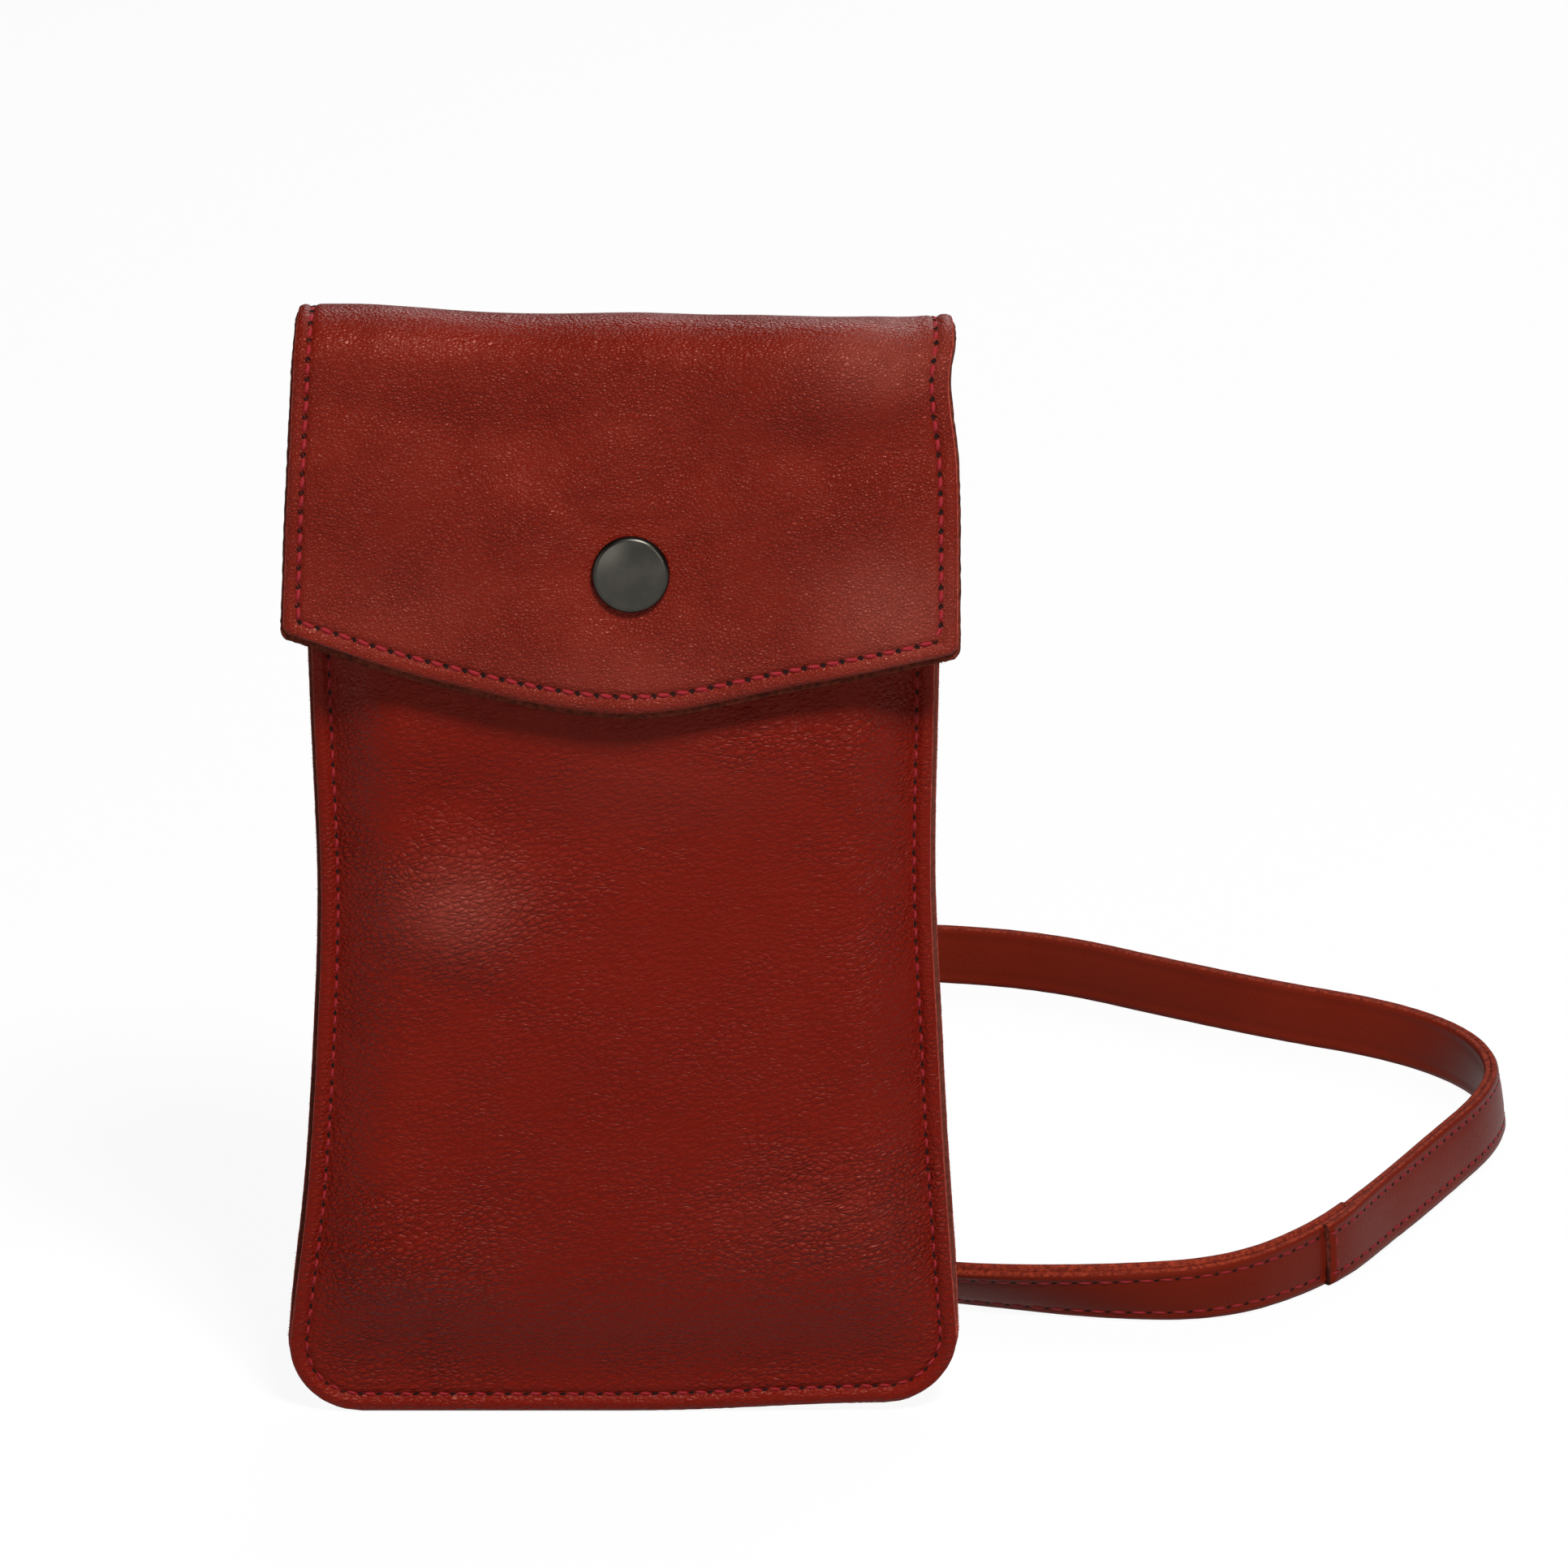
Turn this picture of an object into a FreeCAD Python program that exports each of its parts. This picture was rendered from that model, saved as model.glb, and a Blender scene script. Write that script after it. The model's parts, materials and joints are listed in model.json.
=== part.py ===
"""Leather phone pouch with a snap flap and a long shoulder strap, as separate pieces.

The pouch stands on its bottom seam, +Z up, front towards -Y, its origin under the
middle of the pouch without its strap. Every length is in millimetres and is kept in
the spreadsheet "sizes"; the objects are bound to it by expressions.
"""
import FreeCAD, Part
import math
import os
import re
import Sketcher

# Each size: its value and what it measures.
SIZES = {
    "leather": (1.3, "thickness of the outer leather"),
    "lining": (0.7, "thickness of the pocket's lining"),
    "flap_backing": (1.2, "thickness of the leather that backs the flap"),
    "glue_line": (0.1, "room between two layers that follow a bend"),
    "top_height": (190, "floor to the top of the fold"),
    "mouth_drop": (18, "top of the fold to the pocket's mouth"),
    "base_width": (110.8, "width across the bottom corners"),
    "mouth_width": (103, "width at the mouth"),
    "side_draw_in": (2.9, "how far each side seam draws in between its ends"),
    "base_corner": (12, "radius of the bottom corners"),
    "seam_flange": (4.8, "flat border outside the belly"),
    "lining_setback": (0.4, "lining's edge inside the leather's edge"),
    "lining_slack": (0.4, "room between the slopes of lining and leather"),
    "stitch_inset": (3, "stitch line to the edge of the leather"),
    "thread_width": (0.8, "width of a row of thread"),
    "thread_proud": (0.35, "height of a row of thread"),
    "thread_break": (1, "flap's thread to the fold, where the leather bends"),
    "front_belly": (6.5, "rise of the front panel's belly"),
    "back_belly": (3.5, "rise of the back panel's belly"),
    "side_wall_run": (6.5, "belly's slope, across, at the sides"),
    "foot_wall_run": (18, "belly's slope, upwards, at the foot"),
    "belly_corner": (8, "corner radius of the belly at the border"),
    "plateau_corner": (11, "corner radius of the belly's flat top"),
    "flap_top_width": (105, "flap's width at the fold"),
    "flap_flare": (2, "how much further each side of the flap is out at its lower corners"),
    "flap_side_drop": (44.5, "fold to the flap's lower corners"),
    "flap_drop": (56.5, "fold to the lowest point of the flap"),
    "flap_corner": (3, "rounding of the flap's lower corners"),
    "flap_tilt": (5, "degrees that the flap leans out"),
    "flap_clear": (0.5, "room between the flap and the belly at the fold"),
    "hinge_gap": (0.2, "room between the fold's ends and its neighbours"),
    "back_lap": (4, "how far the upper back reaches down over the belly"),
    "snap_offset": (1.5, "snap to the pouch's middle"),
    "snap_drop": (32.5, "fold to the snap's middle"),
    "cap_radius": (6.25, "snap cap"),
    "cap_rim": (0.7, "height of the cap's rim"),
    "cap_height": (1.7, "height of the cap"),
    "cap_barrel_radius": (1.9, "barrel of the cap"),
    "socket_radius": (4.8, "snap socket"),
    "socket_height": (2.2, "height of the socket"),
    "socket_floor": (0.4, "floor of the socket"),
    "socket_bore_radius": (2.75, "bore of the socket"),
    "groove_radius": (3.3, "groove for the spring ring"),
    "groove_height": (0.7, "height of that groove"),
    "spring_wire": (0.5, "wire of the spring ring"),
    "spring_reach": (0.1, "how far the ring reaches into the bore"),
    "stud_base_radius": (4.6, "base of the stud"),
    "stud_base_height": (0.4, "height of the stud's base"),
    "stud_neck_radius": (1.6, "neck of the stud"),
    "stud_neck_height": (0.7, "height of the stud's neck"),
    "stud_head_radius": (2.05, "head of the stud"),
    "stud_head_rise": (0.3, "slope under and over the stud's head"),
    "stud_height": (2.5, "height of the stud"),
    "post_barrel_radius": (1.5, "barrel of the stud's post"),
    "post_head_radius": (4.5, "head of the stud's post"),
    "post_head_height": (0.5, "height of that head"),
    "hole_room": (0.1, "room round a barrel in its hole"),
    "strap_width": (11, "width of the strap"),
    "strap_thick": (2.6, "thickness of the strap, two plies"),
    "strap_offset": (32, "strap's ends to the pouch's middle"),
    "strap_end_top": (146, "floor to the top of a sewn strap end"),
    "strap_end_length": (26, "length of a sewn strap end"),
    "strap_stitch_inset": (2, "strap's stitches to its edge"),
    "overrun": (5, "how far a cut runs past what it cuts"),
}

# The belly's shoulder, as shares of its slope and of its rise.
SHOULDER_RUN_SHARE = 0.3
SHOULDER_RISE_SHARE = 0.7

# The strap's drop behind the pouch, as (y, z), the same on both sides.
DROP_ROUTE = [
    (10.97, 146), (10.97, 158), (17, 169.5), (29, 174), (42, 168), (50, 154), (54.5, 128),
    (56.5, 92), (61.5, 57), (69, 29), (81, 9.5), (97, 1.3), (110, 1.3),
]
# The strap's loop on the floor, as (x, y): from the left turn round the right to the right turn.
LOOP_ROUTE = [
    (-32, 150), (-32, 167), (-27, 187), (-15, 204), (4, 215), (28, 220.5), (54, 220), (77, 214),
    (97, 200), (117, 187), (138, 176), (151, 161), (156, 142), (151, 123), (142, 103),
    (131, 79), (118, 58), (101, 43), (80, 42), (58, 47), (36, 54), (15, 62), (-4, 74),
    (-17, 92), (-22.5, 114), (-22.8, 139), (-21.5, 164), (-14.5, 177.5), (-2, 185), (12, 185),
    (25, 177.5), (32, 165), (32, 150),
]
# The strap's two lengths are lapped in the middle of the run that starts at this point.
LAP_RUN = 15
# Each bend of the strap takes this share of the shorter run beside it.
BEND_SHARE = 0.45
# Steps in which a turn of the strap goes from flat to standing on its edge.
TURN_STEPS = 6

X_AXIS = FreeCAD.Vector(1, 0, 0)
Y_AXIS = FreeCAD.Vector(0, 1, 0)
Z_AXIS = FreeCAD.Vector(0, 0, 1)
HALF_TURN = 180
QUARTER_TURN = 90
SAME_PLACE = 1e-6

# Places that several pieces share, as formulas of the sizes.
MOUTH_Z = "(top_height - mouth_drop)"
FRONT_FACE = "(lining + front_belly + leather)"
BACK_FACE = "(lining + back_belly + leather)"
FLAP_STACK = "(leather + flap_backing)"
FLAP_FRONT = f"({FRONT_FACE} + flap_clear + {FLAP_STACK})"
FOLD_RADIUS = f"(({FLAP_FRONT} + {BACK_FACE}) / 2)"
HINGE_Z = f"(top_height - hinge_gap - {FOLD_RADIUS})"
FRONT_REACH = f"({FLAP_FRONT} + flap_drop * sin(flap_tilt) + thread_proud)"
BACK_REACH = f"({BACK_FACE} + strap_thick + thread_proud)"
SEAM_Y = f"(({FRONT_REACH} - {BACK_REACH}) / 2)"
FLAP_Y = f"({SEAM_Y} - {FLAP_FRONT})"
BACK_Y = f"({SEAM_Y} + {BACK_FACE})"
SNAP_Z = f"({HINGE_Z} - snap_drop * cos(flap_tilt))"

doc = FreeCAD.newDocument("phone_pouch")
sheet = doc.addObject("Spreadsheet::Sheet", "sizes")
sub_parts = {}


def fill_sheet():
    """Write every size to the sheet, with its name as the alias."""
    for row, (name, (number, meaning)) in enumerate(SIZES.items(), 1):
        sheet.set(f"A{row}", meaning)
        sheet.set(f"B{row}", str(number))
        sheet.setAlias(f"B{row}", name)
    doc.recompute()


def value(formula):
    """The number that a formula of the sizes gives now; angles are in degrees."""
    return float(sheet.evalExpression(with_degrees(formula)))


def with_degrees(formula):
    """The formula with its one angle given its unit."""
    return re.sub(r"\((flap_tilt)\)", r"(\1 * 1deg)", formula)


def bind(thing, attribute, formula):
    """Tie an attribute of an object to a formula of the sizes."""
    named = re.sub(r"[a-z_]+", lambda m: f"sizes.{m[0]}" if m[0] in SIZES else m[0], with_degrees(formula))
    thing.setExpression(attribute, named)


def keep(label, thing):
    """Count an object as a sub-part under its own label."""
    thing.Label = label
    sub_parts[label] = thing
    return thing


def new_body(label):
    """A body for one sub-part."""
    return keep(label, doc.addObject("PartDesign::Body", label))


def origin_plane(body, role):
    """One of a body's own origin planes."""
    return next(f for f in body.Origin.OriginFeatures if f.Role == role)


def arc_middle(start, end, radius, side):
    """The middle of the smaller arc between two points, to the given side of the chord."""
    chord = end - start
    across = FreeCAD.Vector(chord.y, -chord.x, 0).normalize()
    depth = math.sqrt(max(radius ** 2 - (chord.Length / 2) ** 2, 0))
    return (start + end) * 0.5 + across * (side * (radius - depth))


def closed_sketch(body, name, role, depth, corners, arcs):
    """A closed outline on an origin plane, every corner and radius bound to the sizes.

    corners are pairs of formulas. arcs maps an edge's number to its radius formula and the
    side it bows to: 1 is right of the way from its first corner to its second, -1 is left.
    """
    sketch = body.newObject("Sketcher::SketchObject", name)
    sketch.AttachmentSupport = (origin_plane(body, role), [""])
    sketch.MapMode = "FlatFace"
    bind(sketch, "AttachmentOffset.Base.z", depth)
    points = [FreeCAD.Vector(value(x), value(y), 0) for x, y in corners]
    count = len(points)
    for i, start in enumerate(points):
        end = points[(i + 1) % count]
        edge = Part.LineSegment(start, end)
        if i in arcs:
            radius, side = arcs[i]
            edge = Part.Arc(start, arc_middle(start, end, value(radius), side), end)
        sketch.addGeometry(edge, False)
    firsts = []
    for i, point in enumerate(points):
        at_start = sketch.getPoint(i, 1).distanceToPoint(point) < SAME_PLACE
        firsts.append(1 if at_start else 2)
    constraints = []
    bound = []
    for i in range(count):
        j = (i + 1) % count
        constraints.append(Sketcher.Constraint("Coincident", i, 3 - firsts[i], j, firsts[j]))
    for i, (x, y) in enumerate(corners):
        for kind, formula in (("DistanceX", x), ("DistanceY", y)):
            bound.append((len(constraints), formula))
            constraints.append(Sketcher.Constraint(kind, -1, 1, i, firsts[i], value(formula)))
        if i in arcs:
            bound.append((len(constraints), arcs[i][0]))
            constraints.append(Sketcher.Constraint("Radius", i, value(arcs[i][0])))
    sketch.addConstraint(constraints)
    for number, formula in bound:
        bind(sketch, f"Constraints[{number}]", formula)
    return sketch


def bow_radius(chord_x, chord_z, bow):
    """Radius formula of an arc over a chord, from how far the arc bows."""
    return f"((({chord_x})^2 + ({chord_z})^2) / 4 + ({bow})^2) / (2 * ({bow}))"


def panel_outline(body, name, depth, inset, lift, corner, top):
    """The pouch's outline, moved in by inset at the sides and by lift at the foot."""
    low = f"(base_width / 2 - ({inset}))"
    high = f"(mouth_width / 2 - ({inset}))"
    knee = f"({lift} + {corner})"
    corners = [
        (f"-{high}", top),
        (f"-{low}", knee),
        (f"{corner} - {low}", lift),
        (f"{low} - {corner}", lift),
        (low, knee),
        (high, top),
    ]
    bowed = bow_radius(f"{low} - {high}", f"{top} - {knee}", "side_draw_in")
    arcs = {0: (bowed, -1), 1: (corner, 1), 3: (corner, 1), 4: (bowed, -1)}
    return closed_sketch(body, name, "XZ_Plane", depth, corners, arcs)


def flap_outline(body, name, depth, inset, top):
    """The flap's outline below the fold, its lower edge bowed, moved in by inset."""
    low = f"(flap_top_width / 2 + flap_flare - ({inset}))"
    high = f"(flap_top_width / 2 - ({inset}))"
    side = f"(flap_side_drop - ({inset}))"
    corners = [(f"-{high}", top), (f"-{low}", f"-{side}"), (low, f"-{side}"), (high, top)]
    bowed = bow_radius(f"2 * {low}", "0", "flap_drop - flap_side_drop")
    return closed_sketch(body, name, "XZ_Plane", depth, corners, {1: (bowed, 1)})


def pad(body, name, sketch, length, backwards=False):
    """Thicken an outline, towards -Y or backwards towards +Y."""
    feature = body.newObject("PartDesign::Pad", name)
    feature.Profile = sketch
    feature.Reversed = backwards
    bind(feature, "Length", length)
    return feature


def cut_through(body, name, sketch):
    """Cut an outline right through, both ways."""
    feature = body.newObject("PartDesign::Pocket", name)
    feature.Profile = sketch
    feature.Type = "ThroughAll"
    feature.Midplane = True
    return feature


def round_hole(body, name, x, z, radius):
    """A round hole along Y through a body."""
    sketch = body.newObject("Sketcher::SketchObject", f"{name}_circle")
    sketch.AttachmentSupport = (origin_plane(body, "XZ_Plane"), [""])
    sketch.MapMode = "FlatFace"
    circle = Part.Circle(FreeCAD.Vector(value(x), value(z), 0), Z_AXIS, value(radius))
    sketch.addGeometry(circle, False)
    for number, (kind, formula) in enumerate((("DistanceX", x), ("DistanceY", z))):
        sketch.addConstraint(Sketcher.Constraint(kind, -1, 1, 0, 3, value(formula)))
        bind(sketch, f"Constraints[{number}]", formula)
    last = sketch.addConstraint(Sketcher.Constraint("Radius", 0, value(radius)))
    bind(sketch, f"Constraints[{last}]", radius)
    doc.recompute()
    return cut_through(body, name, sketch)


def turned(body, name, corners, arcs):
    """A piece turned about the body's Y axis, from its half section as (radius, y)."""
    sketch = closed_sketch(body, f"{name}_section", "XY_Plane", "0", corners, arcs)
    feature = body.newObject("PartDesign::Revolution", name)
    feature.Profile = sketch
    feature.ReferenceAxis = (sketch, ["V_Axis"])
    return feature


def place(thing, x="0", y="0", z="0", tilt=None):
    """Put a sub-part in its place; a tilted one leans out about X."""
    if tilt:
        thing.Placement = FreeCAD.Placement(FreeCAD.Vector(), FreeCAD.Rotation(X_AXIS, 0))
        bind(thing, "Placement.Rotation.Angle", f"-{tilt} * 1deg")
        thing.Placement.Rotation.Axis = X_AXIS
    for letter, formula in zip("xyz", (x, y, z)):
        bind(thing, f"Placement.Base.{letter}", formula)


def face_back(thing, y):
    """Turn a panel that was built facing -Y to face +Y, and put it at y."""
    thing.Placement = FreeCAD.Placement(FreeCAD.Vector(), FreeCAD.Rotation(Z_AXIS, HALF_TURN))
    bind(thing, "Placement.Base.y", y)


def belly_loft(body, name, kind, seat, rise, inset, lift, top):
    """A belly on the border: three outlines joined by straight slopes, with a shoulder."""
    stages = [
        ("foot", "0", "0", "0", "belly_corner"),
        ("shoulder", f"{SHOULDER_RUN_SHARE} * side_wall_run", f"{SHOULDER_RUN_SHARE} * foot_wall_run",
         f"{SHOULDER_RISE_SHARE} * ({rise})", "belly_corner"),
        ("top", "side_wall_run", "foot_wall_run", rise, "plateau_corner"),
    ]
    outlines = []
    for stage, run, climb, height, corner in stages:
        outlines.append(panel_outline(
            body, f"{name}_{stage}", f"{seat} + {height}",
            f"{inset} + {run}", f"{lift} + {climb}", corner, top))
    doc.recompute()
    loft = body.newObject(f"PartDesign::{kind}Loft", name)
    loft.Profile = outlines[0]
    loft.Sections = outlines[1:]
    loft.Ruled = True
    doc.recompute()
    return loft


def dished_panel(label, inner, thick, rise, edge_setback, wall_shift):
    """A panel with a flat sewn border and a hollow belly that is open at the mouth.

    inner is the distance from the seam plane to the panel's inner face, and wall_shift is
    how far its outer slopes lie inside those of the outer leather.
    """
    body = new_body(label)
    border = panel_outline(body, f"{label}_border", inner, edge_setback, edge_setback, "base_corner", MOUTH_Z)
    pad(body, f"{label}_sheet", border, thick)
    outside = f"seam_flange + {wall_shift}"
    inside = f"{outside} + {thick}"
    belly_loft(body, f"{label}_belly", "Additive", f"{inner} + {thick}", rise, outside, outside, MOUTH_Z)
    belly_loft(body, f"{label}_hollow", "Subtractive", inner, rise, inside, inside, f"({MOUTH_Z} + overrun)")
    return body


def thread_u(label, depth, inset, outline, top, backwards=False):
    """A row of stitches down one side, along the foot and up the other side."""
    body = new_body(label)
    outer = outline(body, f"{label}_outer", depth, f"{inset} - thread_width / 2", top)
    pad(body, f"{label}_band", outer, "thread_proud", backwards)
    doc.recompute()
    inner = outline(body, f"{label}_inner", depth, f"{inset} + thread_width / 2", f"{top} + overrun")
    cut_through(body, f"{label}_inside", inner)
    return body


def seam_outline(body, name, depth, inset, top):
    """The pouch's outline moved in all round, for its stitches."""
    return panel_outline(body, name, depth, inset, inset, f"(base_corner - ({inset}))", top)


def pouch_panels():
    """Front and back panels, their linings and the seam's two threads."""
    front = dished_panel("front_panel", "lining", "leather", "front_belly", "0", "0")
    behind = "leather + lining_slack"
    front_lining = dished_panel(
        "front_lining", "0", "lining", "(front_belly - glue_line)", "lining_setback", behind)
    back = dished_panel("back_panel", "lining", "leather", "back_belly", "0", "0")
    back_lining = dished_panel(
        "back_lining", "0", "lining", "(back_belly - glue_line)", "lining_setback", behind)
    upper_back(back)
    round_hole(front, "post_hole", "snap_offset", SNAP_Z, "post_barrel_radius + hole_room")
    round_hole(front_lining, "post_hole_in_lining", "snap_offset", SNAP_Z, "post_barrel_radius + hole_room")
    needle = thread_u("seam_thread_front", "lining + leather", "stitch_inset", seam_outline, MOUTH_Z)
    bobbin = thread_u("seam_thread_back", "lining + leather", "stitch_inset", seam_outline, MOUTH_Z)
    for piece in (front, front_lining, needle):
        place(piece, y=SEAM_Y)
    for piece in (back, back_lining, bobbin):
        face_back(piece, SEAM_Y)


def upper_back(body):
    """The back panel's leather above the mouth, as wide as the flap, up to the fold."""
    half = "flap_top_width / 2"
    foot = f"({MOUTH_Z} - back_lap)"
    corners = [(f"-{half}", HINGE_Z), (f"-{half}", foot), (half, foot), (half, HINGE_Z)]
    outline = closed_sketch(body, "upper_back_outline", "XZ_Plane", "lining + back_belly", corners, {})
    pad(body, "upper_back", outline, "leather")


def half_tube(name, outer, inner, width, x):
    """Half a tube along X over the mouth, open downwards."""
    rounds = []
    for part, radius in (("outer", outer), ("inner", inner)):
        cylinder = doc.addObject("Part::Cylinder", f"{name}_{part}")
        cylinder.Angle = HALF_TURN
        bind(cylinder, "Radius", radius)
        bind(cylinder, "Height", width)
        along_x = FreeCAD.Rotation(Y_AXIS, Z_AXIS, X_AXIS, "ZXY")
        cylinder.Placement = FreeCAD.Placement(FreeCAD.Vector(), along_x)
        bind(cylinder, "Placement.Base.x", x)
        bind(cylinder, "Placement.Base.y", f"{FLAP_Y} + {FOLD_RADIUS}")
        bind(cylinder, "Placement.Base.z", f"{HINGE_Z} + hinge_gap")
        rounds.append(cylinder)
    tube = doc.addObject("Part::Cut", name)
    tube.Base, tube.Tool = rounds
    return tube


def fold():
    """The bend of the leather over the mouth, its backing and the stitches at its ends."""
    half = "flap_top_width / 2"
    under = f"{FOLD_RADIUS} - leather"
    backing = f"{under} - glue_line"
    keep("fold_leather", half_tube("fold_leather", FOLD_RADIUS, under, "flap_top_width", f"-{half}"))
    inside = f"{backing} - flap_backing"
    keep("fold_backing", half_tube("fold_backing", backing, inside, "flap_top_width", f"-{half}"))
    rows = []
    for side, sign in (("left", "-"), ("right", "")):
        middle = f"{sign}({half} - stitch_inset)"
        rows.append(half_tube(
            f"fold_thread_{side}", f"{FOLD_RADIUS} + glue_line + thread_proud", f"{FOLD_RADIUS} + glue_line",
            "thread_width", f"{middle} - thread_width / 2"))
    threads = doc.addObject("Part::Compound", "fold_threads")
    threads.Links = rows
    keep("fold_threads", threads)


def flap():
    """The flap's leather and backing, hung from the fold, and its two threads."""
    leather = new_body("flap_leather")
    pad(leather, "flap_sheet", flap_outline(leather, "flap_edge", "0", "0", "0"), "leather", True)
    backing = new_body("flap_backing_leather")
    inner = flap_outline(backing, "flap_backing_edge", "-leather", "0", "0")
    pad(backing, "flap_backing_sheet", inner, "flap_backing", True)
    for body in (leather, backing):
        doc.recompute()
        round_lower_corners(body)
        round_hole(body, f"{body.Label}_hole", "snap_offset", "-snap_drop", "cap_barrel_radius + hole_room")
    needle = thread_u("flap_thread_front", "0", "stitch_inset", flap_outline, "-thread_break")
    bobbin = thread_u(
        "flap_thread_back", f"-{FLAP_STACK}", "stitch_inset", flap_outline, "-thread_break", True)
    for body in (leather, backing, needle, bobbin):
        place(body, y=FLAP_Y, z=HINGE_Z, tilt="flap_tilt")


def round_lower_corners(body):
    """Round the flap's two lower corners."""
    low_corner = -value("flap_side_drop")
    names = []
    for number, edge in enumerate(body.Shape.Edges, 1):
        across = abs(edge.tangentAt(edge.FirstParameter).y) > 1 - SAME_PLACE
        if across and abs(edge.CenterOfMass.z - low_corner) < SAME_PLACE:
            names.append(f"Edge{number}")
    sheet_feature = body.Tip
    rounding = body.newObject("PartDesign::Fillet", f"{body.Label}_corners")
    rounding.Base = (sheet_feature, names)
    bind(rounding, "Radius", "flap_corner")
    doc.recompute()


def snap_on_flap():
    """The cap through the flap, the socket behind it and the socket's spring ring."""
    cap = new_body("snap_cap")
    crown = bow_radius("2 * cap_radius", "0", "cap_height - cap_rim")
    turned(cap, "cap", [
        ("0", FLAP_STACK), ("0", "-cap_height"), ("cap_radius", "-cap_rim"), ("cap_radius", "0"),
        ("cap_barrel_radius", "0"), ("cap_barrel_radius", FLAP_STACK),
    ], {1: (crown, -1)})
    socket = new_body("snap_socket")
    groove_low = "(socket_floor + (socket_height - socket_floor - groove_height) / 2)"
    turned(socket, "socket", [
        ("0", "0"), ("socket_radius", "0"), ("socket_radius", "socket_height"),
        ("socket_bore_radius", "socket_height"), ("socket_bore_radius", f"{groove_low} + groove_height"),
        ("groove_radius", f"{groove_low} + groove_height"), ("groove_radius", groove_low),
        ("socket_bore_radius", groove_low), ("socket_bore_radius", "socket_floor"), ("0", "socket_floor"),
    ], {})
    spring = keep("snap_spring", doc.addObject("Part::Torus", "snap_spring"))
    bind(spring, "Radius1", "socket_bore_radius - spring_reach + spring_wire / 2")
    bind(spring, "Radius2", "spring_wire / 2")
    down = f"(snap_drop * cos(flap_tilt))"
    out = f"(snap_drop * sin(flap_tilt))"
    place(cap, "snap_offset", f"{FLAP_Y} - {out}", f"{HINGE_Z} - {down}", "flap_tilt")
    behind = [(socket, FLAP_STACK), (spring, f"({FLAP_STACK} + {groove_low} + groove_height / 2)")]
    for piece, depth in behind:
        place(piece, "snap_offset", f"{FLAP_Y} - {out} + {depth} * cos(flap_tilt)",
              f"{HINGE_Z} - {down} - {depth} * sin(flap_tilt)", "flap_tilt")
    bind(spring, "Placement.Rotation.Angle", f"({QUARTER_TURN} - flap_tilt) * 1deg")


def snap_on_front():
    """The stud on the front panel and the post that holds it from inside."""
    stud = new_body("snap_stud")
    neck_top = "(stud_base_height + stud_neck_height)"
    turned(stud, "stud", [
        ("0", "0"), ("0", "-stud_height"), ("stud_head_radius - stud_head_rise", "-stud_height"),
        ("stud_head_radius", "stud_head_rise - stud_height"),
        ("stud_head_radius", f"-{neck_top} - stud_head_rise"), ("stud_neck_radius", f"-{neck_top}"),
        ("stud_neck_radius", "-stud_base_height"), ("stud_base_radius", "-stud_base_height"),
        ("stud_base_radius", "0"),
    ], {})
    post = new_body("snap_post")
    stack = "(leather + glue_line + lining)"
    turned(post, "post", [
        ("0", f"{stack} + post_head_height"), ("0", "0"), ("post_barrel_radius", "0"),
        ("post_barrel_radius", stack), ("post_head_radius", stack),
        ("post_head_radius", f"{stack} + post_head_height"),
    ], {})
    for piece in (stud, post):
        place(piece, "snap_offset", f"{SEAM_Y} - {FRONT_FACE}", SNAP_Z)


def block(name, x, y, z, length, width, height):
    """A bound box from its low corner and its sizes."""
    box = doc.addObject("Part::Box", name)
    for attribute, formula in (("Length", length), ("Width", width), ("Height", height)):
        bind(box, attribute, formula)
    place(box, x, y, z)
    return box


def strap_ends():
    """The strap's two ends, sewn flat to the back, each with a box of stitches."""
    foot = "(strap_end_top - strap_end_length)"
    inset = "strap_stitch_inset"
    for side, sign in (("left", "-"), ("right", "")):
        low = f"({sign}strap_offset - strap_width / 2)"
        keep(f"strap_end_{side}", block(
            f"strap_end_{side}", low, BACK_Y, foot, "strap_width", "strap_thick", "strap_end_length"))
        outer = block(
            f"end_stitches_outer_{side}", f"{low} + {inset}", f"{BACK_Y} + strap_thick", f"{foot} + {inset}",
            f"strap_width - 2 * {inset}", "thread_proud", f"strap_end_length - 2 * {inset}")
        room = f"({inset} + thread_width)"
        inner = block(
            f"end_stitches_inner_{side}",
            f"{low} + {room}", f"{BACK_Y} + strap_thick - overrun", f"{foot} + {room}",
            f"strap_width - 2 * {room}", "thread_proud + 2 * overrun", f"strap_end_length - 2 * {room}")
        ring = doc.addObject("Part::Cut", f"end_stitches_{side}")
        ring.Base, ring.Tool = outer, inner
        keep(f"strap_end_thread_{side}", ring)


def bent_wire(name, points):
    """Straight runs joined by tangent arcs, each arc as large as its runs allow."""
    edges = []
    radii = []
    start = points[0]
    for before, here, after in zip(points, points[1:], points[2:]):
        arriving = (here - before)
        leaving = (after - here)
        turn = arriving.getAngle(leaving)
        reach = BEND_SHARE * min(arriving.Length, leaving.Length)
        radius = reach / math.tan(turn / 2)
        radii.append(round(radius, 1))
        first = here - arriving.normalize() * reach
        last = here + leaving.normalize() * reach
        inward = (leaving - arriving).normalize()
        middle = here + inward * (radius / math.cos(turn / 2) - radius)
        edges.append(Part.LineSegment(start, first).toShape())
        edges.append(Part.Arc(first, middle, last).toShape())
        start = last
    edges.append(Part.LineSegment(start, points[-1]).toShape())
    wire = Part.Wire(edges)
    print(f"{name}: {wire.Length:.1f} mm along, radii {radii}")
    return wire


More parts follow.
